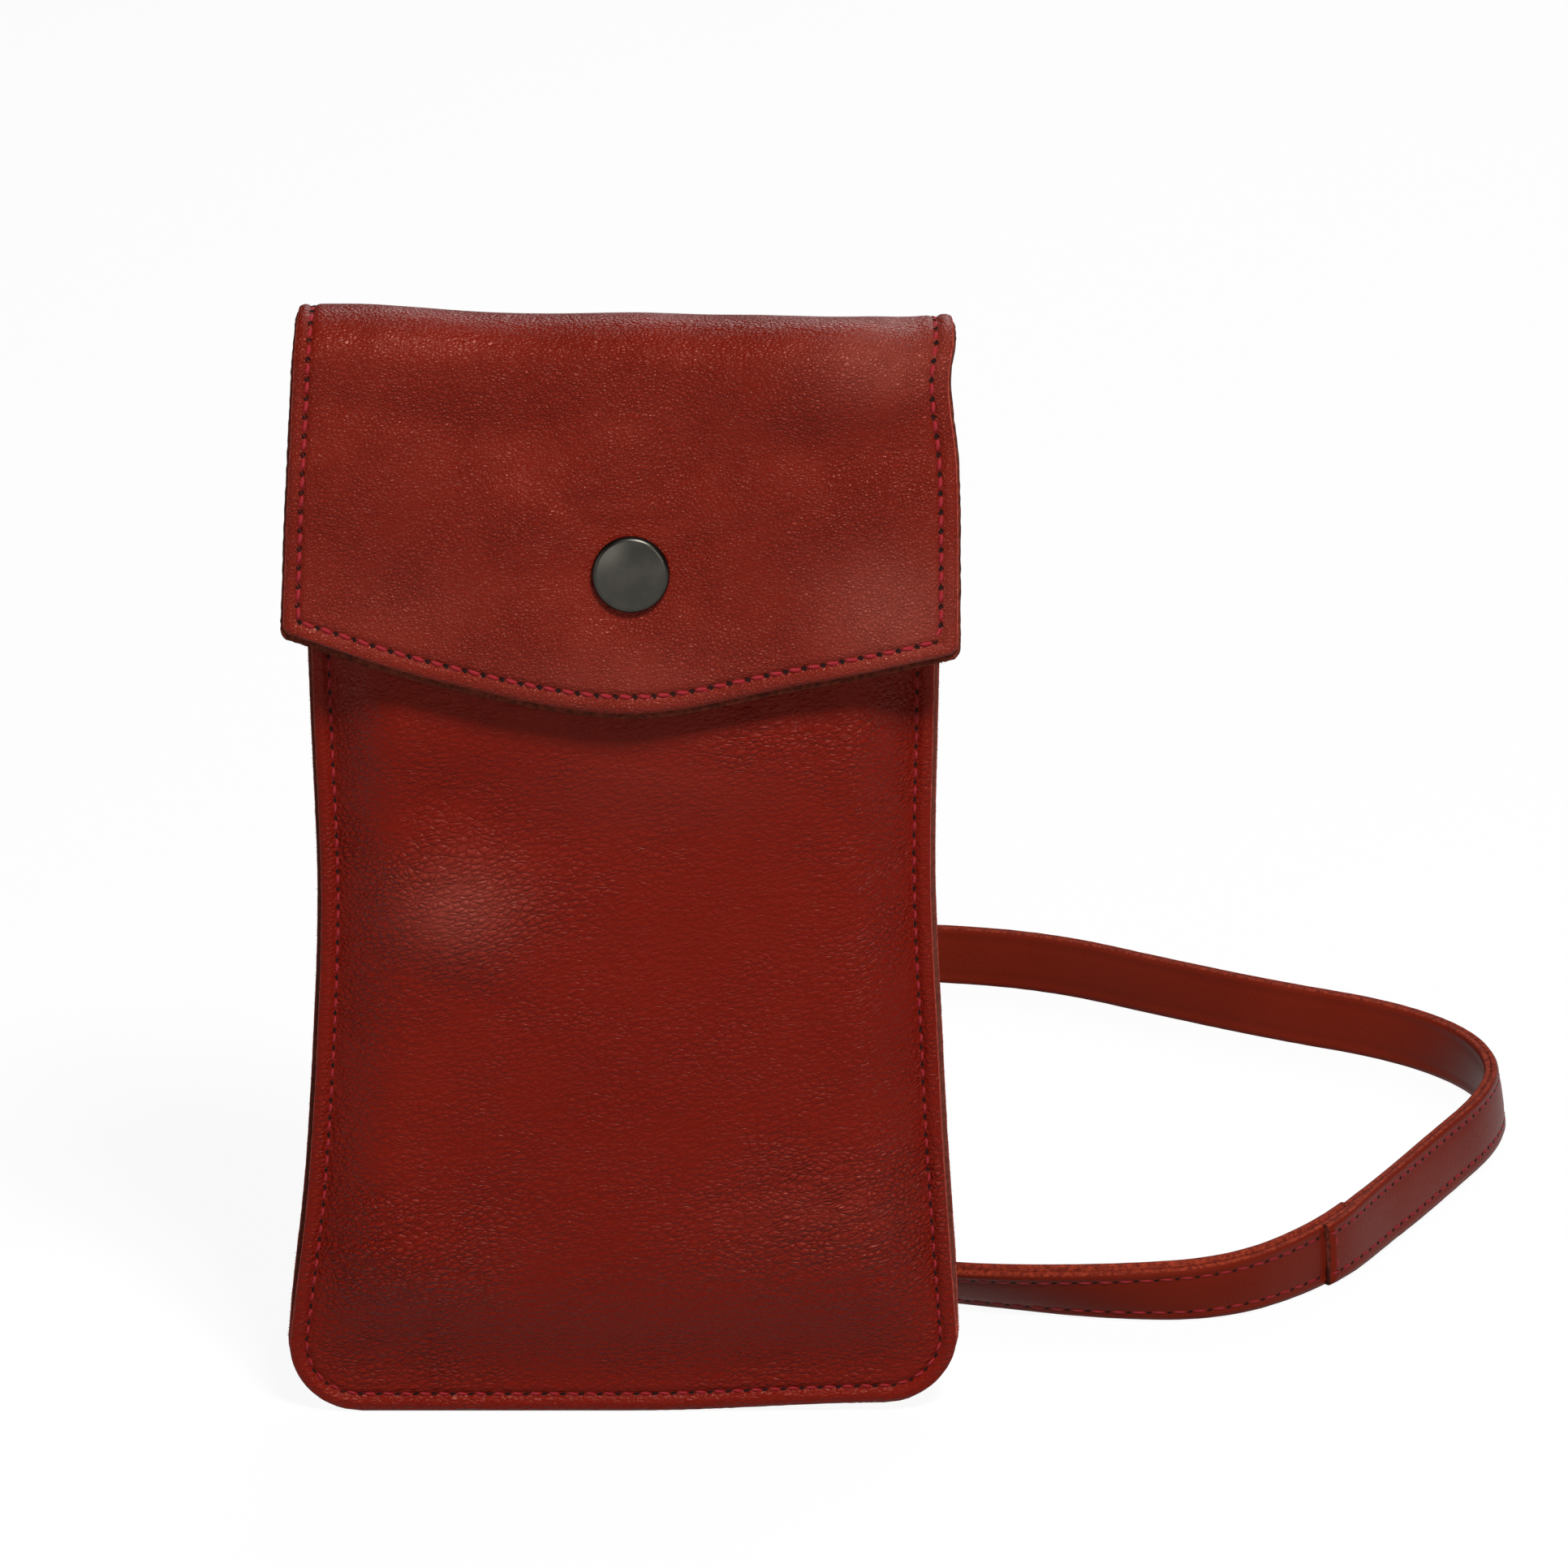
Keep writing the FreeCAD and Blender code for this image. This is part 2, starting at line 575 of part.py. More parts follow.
def strap_section(centre, along, wide):
    """The strap's rectangle across its way, its width along the given direction."""
    half_wide = wide * (value("strap_width") / 2)
    half_thick = along.cross(wide).normalize() * (value("strap_thick") / 2)
    signs = ((1, 1), (1, -1), (-1, -1), (-1, 1), (1, 1))
    return Part.makePolygon([centre + half_wide * a + half_thick * b for a, b in signs])


def strap_run(label, points, wide):
    """A stretch of the strap along its route, its width along one direction."""
    wire = bent_wire(label, points)
    section = strap_section(points[0], (points[1] - points[0]).normalize(), wide)
    thing = keep(label, doc.addObject("Part::Feature", label))
    thing.Shape = wire.makePipeShell([section], True, False)
    expected = wire.Length * value("strap_width * strap_thick")
    print(f"{label}: volume {thing.Shape.Volume:.1f}, section times length {expected:.1f}")


def strap_turn(label, start, end):
    """A stretch on the floor where the flat strap turns up on to its edge."""
    wide_half = value("strap_width / 2")
    thick_half = value("strap_thick / 2")
    along = FreeCAD.Vector(end.x - start.x, end.y - start.y, 0).normalize()
    sections = []
    for step in range(TURN_STEPS + 1):
        share = step / TURN_STEPS
        angle = math.radians(QUARTER_TURN * share)
        centre = start + (end - start) * share
        centre.z = wide_half * math.sin(angle) + thick_half * math.cos(angle)
        wide = X_AXIS * math.cos(angle) + Z_AXIS * math.sin(angle)
        sections.append(strap_section(centre, along, wide))
    thing = keep(label, doc.addObject("Part::Feature", label))
    thing.Shape = Part.makeLoft(sections, True, True)


def strap():
    """The free strap: a drop and a turn on each side, and the two lapped lengths of the loop."""
    level = value("strap_width / 2")
    loop = [FreeCAD.Vector(x, y, level) for x, y in LOOP_ROUTE]
    lap = (loop[LAP_RUN] + loop[LAP_RUN + 1]) * 0.5
    for side, x, loop_end in (("left", LOOP_ROUTE[0][0], loop[0]), ("right", LOOP_ROUTE[-1][0], loop[-1])):
        drop = [FreeCAD.Vector(x, y, z) for y, z in DROP_ROUTE]
        strap_run(f"strap_drop_{side}", drop, X_AXIS)
        strap_turn(f"strap_turn_{side}", drop[-1], loop_end)
    strap_run("strap_rear_length", loop[:LAP_RUN + 1] + [lap], Z_AXIS)
    strap_run("strap_front_length", [lap] + loop[LAP_RUN + 1:], Z_AXIS)


def check_and_write():
    """Stop on anything that failed, then write one file for each sub-part."""
    doc.recompute()
    for thing in doc.Objects:
        if "Invalid" in thing.State or "Error" in thing.State:
            raise RuntimeError(f"{thing.Label} failed: {thing.State}")
    os.makedirs("parts", exist_ok=True)
    for label, thing in sub_parts.items():
        if thing.Shape.isNull() or not thing.Shape.isValid():
            raise RuntimeError(f"{label} has no valid shape")
    for label, thing in sub_parts.items():
        thing.Shape.exportStep(f"parts/{label}.step")
        box = thing.Shape.BoundBox
        print(f"{label}: {len(thing.Shape.Solids)} solid(s), {thing.Shape.Volume:.1f} mm3, "
              f"x {box.XMin:.2f} {box.XMax:.2f} y {box.YMin:.2f} {box.YMax:.2f} "
              f"z {box.ZMin:.2f} {box.ZMax:.2f}")


fill_sheet()
pouch_panels()
fold()
flap()
snap_on_flap()
snap_on_front()
strap_ends()
strap()
check_and_write()
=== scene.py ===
"""Looks of the leather phone pouch: soft panels, stitched flap, metal snap and long strap."""
import json
import logging
import math
import random
from dataclasses import dataclass, field
from enum import Enum
from typing import Callable, Dict, List, Optional, Sequence, Tuple, Union

import bmesh
import bpy
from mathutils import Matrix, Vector, noise

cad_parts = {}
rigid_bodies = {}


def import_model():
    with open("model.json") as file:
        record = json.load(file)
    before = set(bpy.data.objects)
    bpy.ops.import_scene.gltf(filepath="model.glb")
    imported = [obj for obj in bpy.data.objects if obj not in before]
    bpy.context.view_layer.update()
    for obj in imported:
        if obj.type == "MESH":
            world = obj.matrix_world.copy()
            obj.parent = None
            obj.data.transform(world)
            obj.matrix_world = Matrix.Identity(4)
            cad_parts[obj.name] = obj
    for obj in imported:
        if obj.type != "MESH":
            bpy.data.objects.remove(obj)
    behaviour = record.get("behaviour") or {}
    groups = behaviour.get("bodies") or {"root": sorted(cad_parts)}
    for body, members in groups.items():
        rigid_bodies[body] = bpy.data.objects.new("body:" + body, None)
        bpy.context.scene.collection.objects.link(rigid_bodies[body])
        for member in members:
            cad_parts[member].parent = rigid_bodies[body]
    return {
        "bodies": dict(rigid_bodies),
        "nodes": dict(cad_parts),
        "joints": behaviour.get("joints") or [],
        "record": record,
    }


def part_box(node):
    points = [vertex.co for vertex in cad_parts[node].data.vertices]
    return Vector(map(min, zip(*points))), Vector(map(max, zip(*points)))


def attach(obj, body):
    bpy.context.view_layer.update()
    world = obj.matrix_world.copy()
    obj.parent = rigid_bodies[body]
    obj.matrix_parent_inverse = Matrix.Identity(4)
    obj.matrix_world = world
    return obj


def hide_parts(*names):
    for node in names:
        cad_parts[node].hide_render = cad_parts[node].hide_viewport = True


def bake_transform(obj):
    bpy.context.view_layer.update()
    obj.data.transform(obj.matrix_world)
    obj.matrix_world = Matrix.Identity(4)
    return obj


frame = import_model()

LOG = logging.getLogger("phone_pouch")
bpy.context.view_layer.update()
MM = 0.001
UP = Vector((0.0, 0.0, 1.0))
ACROSS = Vector((1.0, 0.0, 0.0))
BACKWARD = Vector((0.0, 1.0, 0.0))
NOISE_BAND = (0.3, 0.7)
GROOVE_DEPTH = 0.5
GROOVE_WIDTH = 0.6

Flat = Tuple[float, float]
Grid = List[List[Vector]]
Places = List[List[Flat]]
Line = Tuple[Flat, ...]
Spot = Tuple[float, float, float]
Colour = Tuple[float, float, float, float]
Surface = Callable[[float, float], Vector]
Row = List[Tuple[Vector, Vector]]
Inputs = Dict[Union[str, int], object]
Node = bpy.types.Node
Piece = bpy.types.Object
Socket = bpy.types.NodeSocket
Tree = bpy.types.NodeTree


class Body(str, Enum):
    """The rigid bodies that pieces ride on."""

    POUCH = "pouch"
    FOLD = "fold"
    FLAP = "flap"


class Slot(str, Enum):
    """Material slots of the record."""

    LEATHER = "red_leather"
    LINING = "lining"
    THREAD = "thread"
    METAL = "snap_metal"


class Side(Enum):
    """Left or right as seen from the front."""

    LEFT = -1
    RIGHT = 1


class OpenRim(Enum):
    """The rim of a leather sheet that runs on into the next sheet and shows no cut edge."""

    NONE = "none"
    FIRST_ROW = "first"
    LAST_ROW = "last"


def srgb(red: float, green: float, blue: float) -> Colour:
    """Turn a colour written as 0 to 255 into a linear one.

    Args:
        red: Red part.
        green: Green part.
        blue: Blue part.

    Returns:
        The linear colour with full opacity.
    """
    parts = []
    for part in (red, green, blue):
        share = part / 255.0
        parts.append(share / 12.92 if share <= 0.04045 else ((share + 0.055) / 1.055) ** 2.4)
    return (parts[0], parts[1], parts[2], 1.0)


def clamp(value: float, low: float = 0.0, high: float = 1.0) -> float:
    """Keep a value between two limits."""
    return max(low, min(high, value))


def ease(value: float, start: float, end: float) -> float:
    """Rise smoothly from 0 at start to 1 at end."""
    share = clamp((value - start) / (end - start))
    return share * share * (3.0 - 2.0 * share)


def bell(distance: float, width: float) -> float:
    """Bell curve of a distance, 1 at zero."""
    return math.exp(-((distance / width) ** 2))


def through(places: Sequence[Flat], at: float) -> float:
    """Read a value on a smooth line through a few chosen places.

    Args:
        places: Pairs of place and value in rising order of place.
        at: Where to read.

    Returns:
        The value there, held flat past both ends.
    """
    if at <= places[0][0]:
        return places[0][1]
    for index, ((start, low), (end, high)) in enumerate(zip(places, places[1:])):
        if at <= end:
            before = places[index - 1] if index > 0 else (2.0 * start - end, 2.0 * low - high)
            after = places[index + 2] if index + 2 < len(places) else (2.0 * end - start, 2.0 * high - low)
            span = end - start
            share = (at - start) / span
            leaving = (high - before[1]) / (end - before[0]) * span
            arriving = (after[1] - low) / (after[0] - start) * span
            cubic = 2.0 * low - 2.0 * high + leaving + arriving
            square = -3.0 * low + 3.0 * high - 2.0 * leaving - arriving
            return ((cubic * share + square) * share + leaving) * share + low
    return places[-1][1]


def stepped(start: float, end: float, step: float) -> List[float]:
    """Values from start on, a step apart, that stay short of end."""
    return [start + step * k for k in range(math.ceil((end - start) / step))]


def corner_inset(radius: float, height: float) -> float:
    """How far a rounded corner stands in at a height above its foot."""
    short = clamp(1.0 - height / radius)
    return radius * (1.0 - math.sqrt(1.0 - short * short))


def add_object(name: str, data: bpy.types.ID) -> Piece:
    """Make an object and link it to the scene.

    Args:
        name: Its name.
        data: Its mesh, curve, lamp or camera.

    Returns:
        The object.
    """
    thing = bpy.data.objects.new(name, data)
    bpy.context.scene.collection.objects.link(thing)
    return thing


def surface_normal(surface: Surface, place: Flat, outward: Vector) -> Vector:
    """Normal of a surface at a place, on the side of outward.

    Args:
        surface: Gives the point for two flat coordinates in millimetres.
        place: The two flat coordinates.
        outward: Rough direction of the wanted side.

    Returns:
        The unit normal.
    """
    step = 0.3
    x, z = place
    along = surface(x + step, z) - surface(x - step, z)
    upward = surface(x, z + step) - surface(x, z - step)
    normal = along.cross(upward).normalized()
    return normal if normal.dot(outward) > 0.0 else -normal


class Net:
    """Short ways to add and join shader nodes in one tree."""

    def __init__(self, tree: Tree) -> None:
        """Remember the tree."""
        self.tree = tree

    def link(self, source: object, target: Socket) -> None:
        """Join a socket to another, or set a number or colour on it.

        Args:
            source: A socket, a number or a colour.
            target: The input that takes it.
        """
        if isinstance(source, (int, float, tuple)):
            target.default_value = source
        else:
            self.tree.links.new(source, target)

    def fill(self, node: Node, given: Inputs) -> None:
        """Join or set some of a node's inputs, by name or number."""
        for label, source in given.items():
            self.link(source, node.inputs[label])

    def add(self, kind: str, given: Optional[Inputs] = None, **options: object) -> Node:
        """Add a node, set its options and fill its inputs.

        Args:
            kind: The node's type.
            given: What its inputs get, by name or number.
            options: The node's own settings, such as its operation.

        Returns:
            The node.
        """
        node = self.tree.nodes.new(kind)
        for label, setting in options.items():
            setattr(node, label, setting)
        self.fill(node, given or {})
        return node

    def math(self, operation: str, first: object, second: object) -> Socket:
        """Combine two values."""
        return self.add("ShaderNodeMath", {0: first, 1: second}, operation=operation).outputs[0]

    def vector(self, operation: str, first: object, second: object) -> Socket:
        """Combine two vectors."""
        return self.add("ShaderNodeVectorMath", {0: first, 1: second}, operation=operation).outputs[0]

    def noise(self, place: Socket, scale: object, detail: float = 3.0) -> Node:
        """Add a noise texture."""
        return self.add("ShaderNodeTexNoise", {"Vector": place, "Scale": scale, "Detail": detail})

    def warped(self, place: Socket, scale: float, reach: float) -> Socket:
        """Shift coordinates unevenly.

        Args:
            place: The coordinates.
            scale: Scale of the unevenness.
            reach: How far they are shifted, in metres.

        Returns:
            The shifted coordinates.
        """
        uneven = self.noise(place, scale, 2.0).outputs["Color"]
        shift = self.add("ShaderNodeVectorMath", {0: uneven, "Scale": reach}, operation="SCALE")
        return self.vector("ADD", place, shift.outputs[0])

    def cells(self, place: Socket, scale: object, feature: str) -> Node:
        """Add a cell texture."""
        return self.add("ShaderNodeTexVoronoi", {"Vector": place, "Scale": scale}, feature=feature)

    def ramp(self, source: Socket, low: float, high: float) -> Socket:
        """Stretch the values between two limits to 0 and 1, smoothly."""
        limits = {"Value": source, "From Min": low, "From Max": high}
        return self.add("ShaderNodeMapRange", limits, interpolation_type="SMOOTHSTEP").outputs["Result"]

    def spread(self, source: Socket, low: float, high: float) -> Socket:
        """Turn 0 to 1 into a range of values."""
        limits = {"Value": source, "To Min": low, "To Max": high}
        return self.add("ShaderNodeMapRange", limits).outputs["Result"]

    def mix(self, share: object, first: object, second: object, way: str = "MIX") -> Socket:
        """Mix two colours.

        Args:
            share: How much of the second, a socket or a number.
            first: First colour, a socket or a colour.
            second: Second colour, a socket or a colour.
            way: Blend type.

        Returns:
            The mixed colour's socket.
        """
        node = self.add("ShaderNodeMix", {"Factor": share}, data_type="RGBA", blend_type=way)
        colours = [s for s in node.inputs if s.type == "RGBA"]
        self.link(first, colours[0])
        self.link(second, colours[1])
        return next(s for s in node.outputs if s.type == "RGBA")

    def group(self, tree: Tree, values: Inputs) -> Node:
        """Place a shared group with its own values or links."""
        return self.add("ShaderNodeGroup", values, node_tree=tree)

    def attribute(self, name: str) -> Socket:
        """Read a value that the mesh carries at its points."""
        return self.add("ShaderNodeAttribute", attribute_name=name).outputs["Fac"]

    def bump(self, height: Socket, depth: float, strength: float) -> Socket:
        """Add a bump of a depth in metres."""
        relief = {"Height": height, "Distance": depth, "Strength": strength}
        return self.add("ShaderNodeBump", relief).outputs["Normal"]


class Groups:
    """Shader node groups that several finishes share, each built once, and their fixed values."""

    GRAIN_TURN = 13.0
    LONG_WARP = (160.0, 2.2 * MM)
    SHORT_WARP = (700.0, 0.7 * MM)
    ROUNDNESS = 0.55
    FINER = 2.3
    DOME_REACH = 0.75
    DOME_HEIGHT = 0.75
    FURROW_REACH = 0.17
    FURROW_DEPTH = 0.42
    FINE_HEIGHT = 0.22
    PATCH_SCALE = 85.0
    LEAST_PEBBLING = 0.45
    TONE_SCALE = 24.0
    MOTTLE_SCALE = 1300.0

    @staticmethod
    def start(name: str, inputs: Dict[str, float],
              outputs: Sequence[str]) -> Tuple[Tree, bool]:
        """Open a group, making it on the first call.

        Args:
            name: The group's name.
            inputs: Number inputs with their usual values.
            outputs: Number outputs.

        Returns:
            The group, and whether it still has to be filled.
        """
        if name in bpy.data.node_groups:
            return bpy.data.node_groups[name], False
        tree = bpy.data.node_groups.new(name, "ShaderNodeTree")
        for label, usual in inputs.items():
            socket = tree.interface.new_socket(label, in_out="INPUT", socket_type="NodeSocketFloat")
            socket.default_value = usual
        for label in outputs:
            tree.interface.new_socket(label, in_out="OUTPUT", socket_type="NodeSocketFloat")
        return tree, True

    @classmethod
    def grain(cls) -> Tree:
        """Build the pebbled leather grain.

        Returns:
            The group: the grain's height, its creases and slow changes of tone.
        """
        inputs = {"Pebbles per metre": 900.0, "Narrowing": 1.0, "Pebbling": 1.0}
        tree, empty = cls.start("pebbled_grain", inputs, ("Height", "Crease", "Tone"))
        if not empty:
            return tree
        net = Net(tree)
        given = net.add("NodeGroupInput").outputs
        place = net.add("ShaderNodeTexCoord").outputs["Object"]
        sides = net.add("ShaderNodeCombineXYZ", {"X": given["Narrowing"], "Y": 1.0, "Z": 1.0})
        turned = net.add("ShaderNodeVectorRotate", {"Vector": place, "Angle": math.radians(cls.GRAIN_TURN)},
                         rotation_type="Y_AXIS")
        drawn = net.vector("MULTIPLY", turned.outputs["Vector"], sides.outputs["Vector"])
        bent = net.warped(net.warped(drawn, *cls.LONG_WARP), *cls.SHORT_WARP)
        pebble = net.cells(bent, given["Pebbles per metre"], "SMOOTH_F1")
        pebble.inputs["Smoothness"].default_value = cls.ROUNDNESS
        seam = net.cells(bent, given["Pebbles per metre"], "DISTANCE_TO_EDGE")
        fine = net.cells(bent, net.math("MULTIPLY", given["Pebbles per metre"], cls.FINER), "F1")
        dome = net.math("SUBTRACT", 1.0, net.ramp(pebble.outputs["Distance"], 0.0, cls.DOME_REACH))
        furrow = net.math("SUBTRACT", 1.0, net.ramp(seam.outputs["Distance"], 0.0, cls.FURROW_REACH))
        sunk = net.math("MULTIPLY", furrow, cls.FURROW_DEPTH)
        large = net.math("SUBTRACT", net.math("MULTIPLY", dome, cls.DOME_HEIGHT), sunk)
        small = net.math("SUBTRACT", 0.5, fine.outputs["Distance"])
        patchy = net.ramp(net.noise(place, cls.PATCH_SCALE).outputs["Fac"], *NOISE_BAND)
        strength = net.math("MULTIPLY", given["Pebbling"], net.spread(patchy, cls.LEAST_PEBBLING, 1.0))
        height = net.math("MULTIPLY", large, strength)
        net.add("NodeGroupOutput", {
            "Height": net.math("ADD", height, net.math("MULTIPLY", small, cls.FINE_HEIGHT)),
            "Crease": net.math("MULTIPLY", furrow, strength),
            "Tone": net.noise(place, cls.TONE_SCALE).outputs["Fac"]})
        return tree

    @classmethod
    def fibres(cls) -> Tree:
        """Build the loose fibres of cut or sueded leather.

        Returns:
            The group: the fibres' height and a mottled mask.
        """
        tree, empty = cls.start("loose_fibres", {"Fibres per metre": 2600.0}, ("Height", "Mottle"))
        if not empty:
            return tree
        net = Net(tree)
        given = net.add("NodeGroupInput").outputs
        place = net.add("ShaderNodeTexCoord").outputs["Object"]
        blotch = net.noise(place, cls.MOTTLE_SCALE)
        net.add("NodeGroupOutput", {
            "Height": net.noise(place, given["Fibres per metre"]).outputs["Fac"],
            "Mottle": net.ramp(blotch.outputs["Fac"], *NOISE_BAND)})
        return tree


def blank_material(name: str) -> Tuple[bpy.types.Material, Net, Node]:
    """Make a material with only a Principled shader.

    Args:
        name: The material's name.

    Returns:
        The material, its node helper and its shader.
    """
    material = bpy.data.materials.new(name)
    material.use_nodes = True
    shader = next(n for n in material.node_tree.nodes if n.type == "BSDF_PRINCIPLED")
    return material, Net(material.node_tree), shader


@dataclass(frozen=True)
class Finish:
    """A finish whose material is made on its first use."""

    name: str
    dark: Colour
    light: Colour

    def material(self) -> bpy.types.Material:
        """Give the material, made on the first call.

        Returns:
            The material.
        """
        found = bpy.data.materials.get(self.name)
        if found is None:
            found, net, shader = blank_material(self.name)
            net.fill(shader, self.looks(net))
        return found

    def looks(self, net: Net) -> Inputs:
        """Add the finish's own nodes and say what the shader gets; each kind of finish has its own."""
        raise NotImplementedError


@dataclass(frozen=True)
class Leather(Finish):
    """Smooth dyed leather with pebbled grain, stronger where the mesh says so, with painted shade darkening
    the grain's furrows and painted sheen lightening it in patches.
    """

    pebbles: float = 900.0
    narrowing: float = 0.75
    depth: float = 0.17 * MM
    smooth: float = 0.34
    rough: float = 0.5
    gloss: float = 0.14
    # Colour factor of the painted shade in the grain's furrows.
    crease: float = 0.72
    sheen_tint: Colour = (1.0, 0.5, 0.4, 1.0)
    # Colour of the painted sheen that lightens the leather in patches, standing in for highlights.
    painted_sheen: Colour = srgb(152, 80, 68)

    def looks(self, net: Net) -> Inputs:
        """Add grain, tone, gloss, painted shade in the grain's furrows and patches of painted sheen.

        Args:
            net: Node helper of the material.

        Returns:
            What the shader's inputs get.
        """
        grain = net.group(Groups.grain(), {
            "Pebbles per metre": self.pebbles,
            "Narrowing": self.narrowing,
            "Pebbling": net.attribute("pebbling")})
        tone = net.mix(net.ramp(grain.outputs["Tone"], *NOISE_BAND), self.dark, self.light)
        # Painted sheen: lighten the colour where the mesh's value says, as a painted highlight.
        tone = net.mix(net.attribute("painted_sheen"), tone, self.painted_sheen)
        # Painted shade: darken the colour in the grain's furrows.
        shade = net.spread(grain.outputs["Crease"], 1.0, self.crease)
        return {
            "Base Color": net.mix(1.0, tone, shade, "MULTIPLY"),
            "Roughness": net.spread(grain.outputs["Crease"], self.smooth, self.rough),
            "Normal": net.bump(grain.outputs["Height"], self.depth, 1.0),
            "Specular IOR Level": self.gloss,
            "Specular Tint": self.sheen_tint}


@dataclass(frozen=True)
class Fibrous(Finish):
    """Cut edge or sueded inside of leather."""

    fibres: float = 2600.0
    depth: float = 0.12 * MM
    relief: float = 0.8
    rough: Flat = (0.75, 0.95)
    gloss: float = 0.15

    def looks(self, net: Net) -> Inputs:
        """Add mottled colour and a fibrous bump.

        Args:
            net: Node helper of the material.

        Returns:
            What the shader's inputs get.
        """
        fibres = net.group(Groups.fibres(), {"Fibres per metre": self.fibres})
        return {
            "Base Color": net.mix(fibres.outputs["Mottle"], self.dark, self.light),
            "Roughness": net.spread(fibres.outputs["Height"], *self.rough),
            "Normal": net.bump(fibres.outputs["Height"], self.depth, self.relief),
            "Specular IOR Level": self.gloss}


@dataclass(frozen=True)
class Thread(Finish):
    """Waxed sewing thread of twisted plies."""

    plies: float = 3.0
    depth: float = 0.08 * MM
    relief: float = 0.7
    rough: Flat = (0.68, 0.5)
    gloss: float = 0.3

    def looks(self, net: Net) -> Inputs:
        """Add the twist of the plies.

        Args:
            net: Node helper of the material.

        Returns:
            What the shader's inputs get.
        """
        place = net.add("ShaderNodeUVMap", uv_map="along").outputs["UV"]
        twist = net.add("ShaderNodeTexWave", {"Vector": place, "Scale": self.plies}, wave_type="BANDS",
                        bands_direction="DIAGONAL").outputs["Fac"]
        return {
            "Base Color": net.mix(twist, self.dark, self.light),
            "Roughness": net.spread(twist, *self.rough),
            "Normal": net.bump(twist, self.depth, self.relief),
            "Specular IOR Level": self.gloss}


@dataclass(frozen=True)
class Plated(Finish):
    """Plated metal, hazy and finely scratched, with painted shade darkening its rim."""

    roughness: float = 0.3
    duller: Flat = (-0.06, 0.1)
    rim: Flat = (5.4 * MM, 6.4 * MM)
    # How dark the painted shade at the rim gets.
    painted_rim_shade: float = 0.65
    haze_scale: float = 330.0
    haze_band: Flat = (0.3, 0.75)
    scratch_scale: float = 5200.0
    scratch_depth: float = 0.015 * MM
    scratch_relief: float = 0.2

    def looks(self, net: Net) -> Inputs:
        """Add haze, fine scratches and painted shade at the rim.

        Args:
            net: Node helper of the material.

        Returns:
            What the shader's inputs get.
        """
        place = net.add("ShaderNodeTexCoord").outputs["Object"]
        haze = net.noise(place, self.haze_scale, 5.0).outputs["Fac"]
        scratch = net.noise(place, self.scratch_scale, 2.0).outputs["Fac"]
        plate = net.mix(net.ramp(haze, *self.haze_band), self.dark, self.light)
        level = net.vector("MULTIPLY", place, (1.0, 0.0, 1.0))
        radius = net.add("ShaderNodeVectorMath", {0: level}, operation="LENGTH").outputs["Value"]
        # Painted shade: the colour darkens towards the rim, standing in for the dark reflections there.
        shade = net.spread(net.ramp(radius, *self.rim), 1.0, self.painted_rim_shade)
        return {
            "Base Color": net.mix(1.0, plate, shade, "MULTIPLY"),
            "Roughness": net.spread(haze, *(self.roughness + more for more in self.duller)),
            "Normal": net.bump(scratch, self.scratch_depth, self.scratch_relief),
            "Metallic": 1.0}


FLAP_LEATHER = Leather(
    "flap_grain_leather", srgb(103, 19, 7), srgb(108, 22, 10), pebbles=2000.0, narrowing=0.7,
    depth=0.2 * MM, smooth=0.3, gloss=0.23)
BODY_LEATHER = Leather(
    "body_grain_leather", srgb(103, 14, 4), srgb(107, 17, 6), pebbles=1250.0, narrowing=0.52,
    depth=0.34 * MM, smooth=0.36, gloss=0.19, crease=0.74)
STRAP_LEATHER = Leather(
    "strap_grain_leather", srgb(101, 26, 13), srgb(111, 32, 18), pebbles=1800.0, depth=0.06 * MM,
    smooth=0.42, gloss=0.09)
BACKING = Fibrous("flap_backing_suede", srgb(104, 30, 20), srgb(122, 40, 28))
CUT_EDGE = Fibrous("cut_edge_fibres", srgb(150, 48, 38), srgb(188, 82, 66), fibres=3200.0)
STRAP_EDGE = Fibrous("strap_edge_fibres", srgb(92, 22, 10), srgb(138, 48, 26), fibres=3200.0)
# Painted shade: a darker copy of the strap's cut edge, for the plies' cut ends.
STRAP_CUT_SHADE = Fibrous("strap_cut_end_shade", srgb(48, 14, 8), srgb(88, 30, 18), fibres=3200.0)
RAW_BACKING = Fibrous("raw_backing_fibres", srgb(68, 23, 13), srgb(110, 46, 29), fibres=3600.0)
POCKET_SUEDE = Fibrous("pocket_suede", srgb(86, 38, 28), srgb(104, 52, 40))
THREAD = Thread("crimson_thread_twist", srgb(118, 9, 20), srgb(154, 22, 35))
# Needle holes: a dark finish of painted shade.
HOLE = Fibrous("needle_hole_shade", srgb(22, 5, 4), srgb(34, 8, 6))
GUNMETAL = Plated("gunmetal_plate", srgb(62, 60, 55), srgb(72, 69, 64))
SPRING_STEEL = Plated("spring_wire_steel", srgb(150, 150, 148), srgb(180, 180, 176), roughness=0.25)


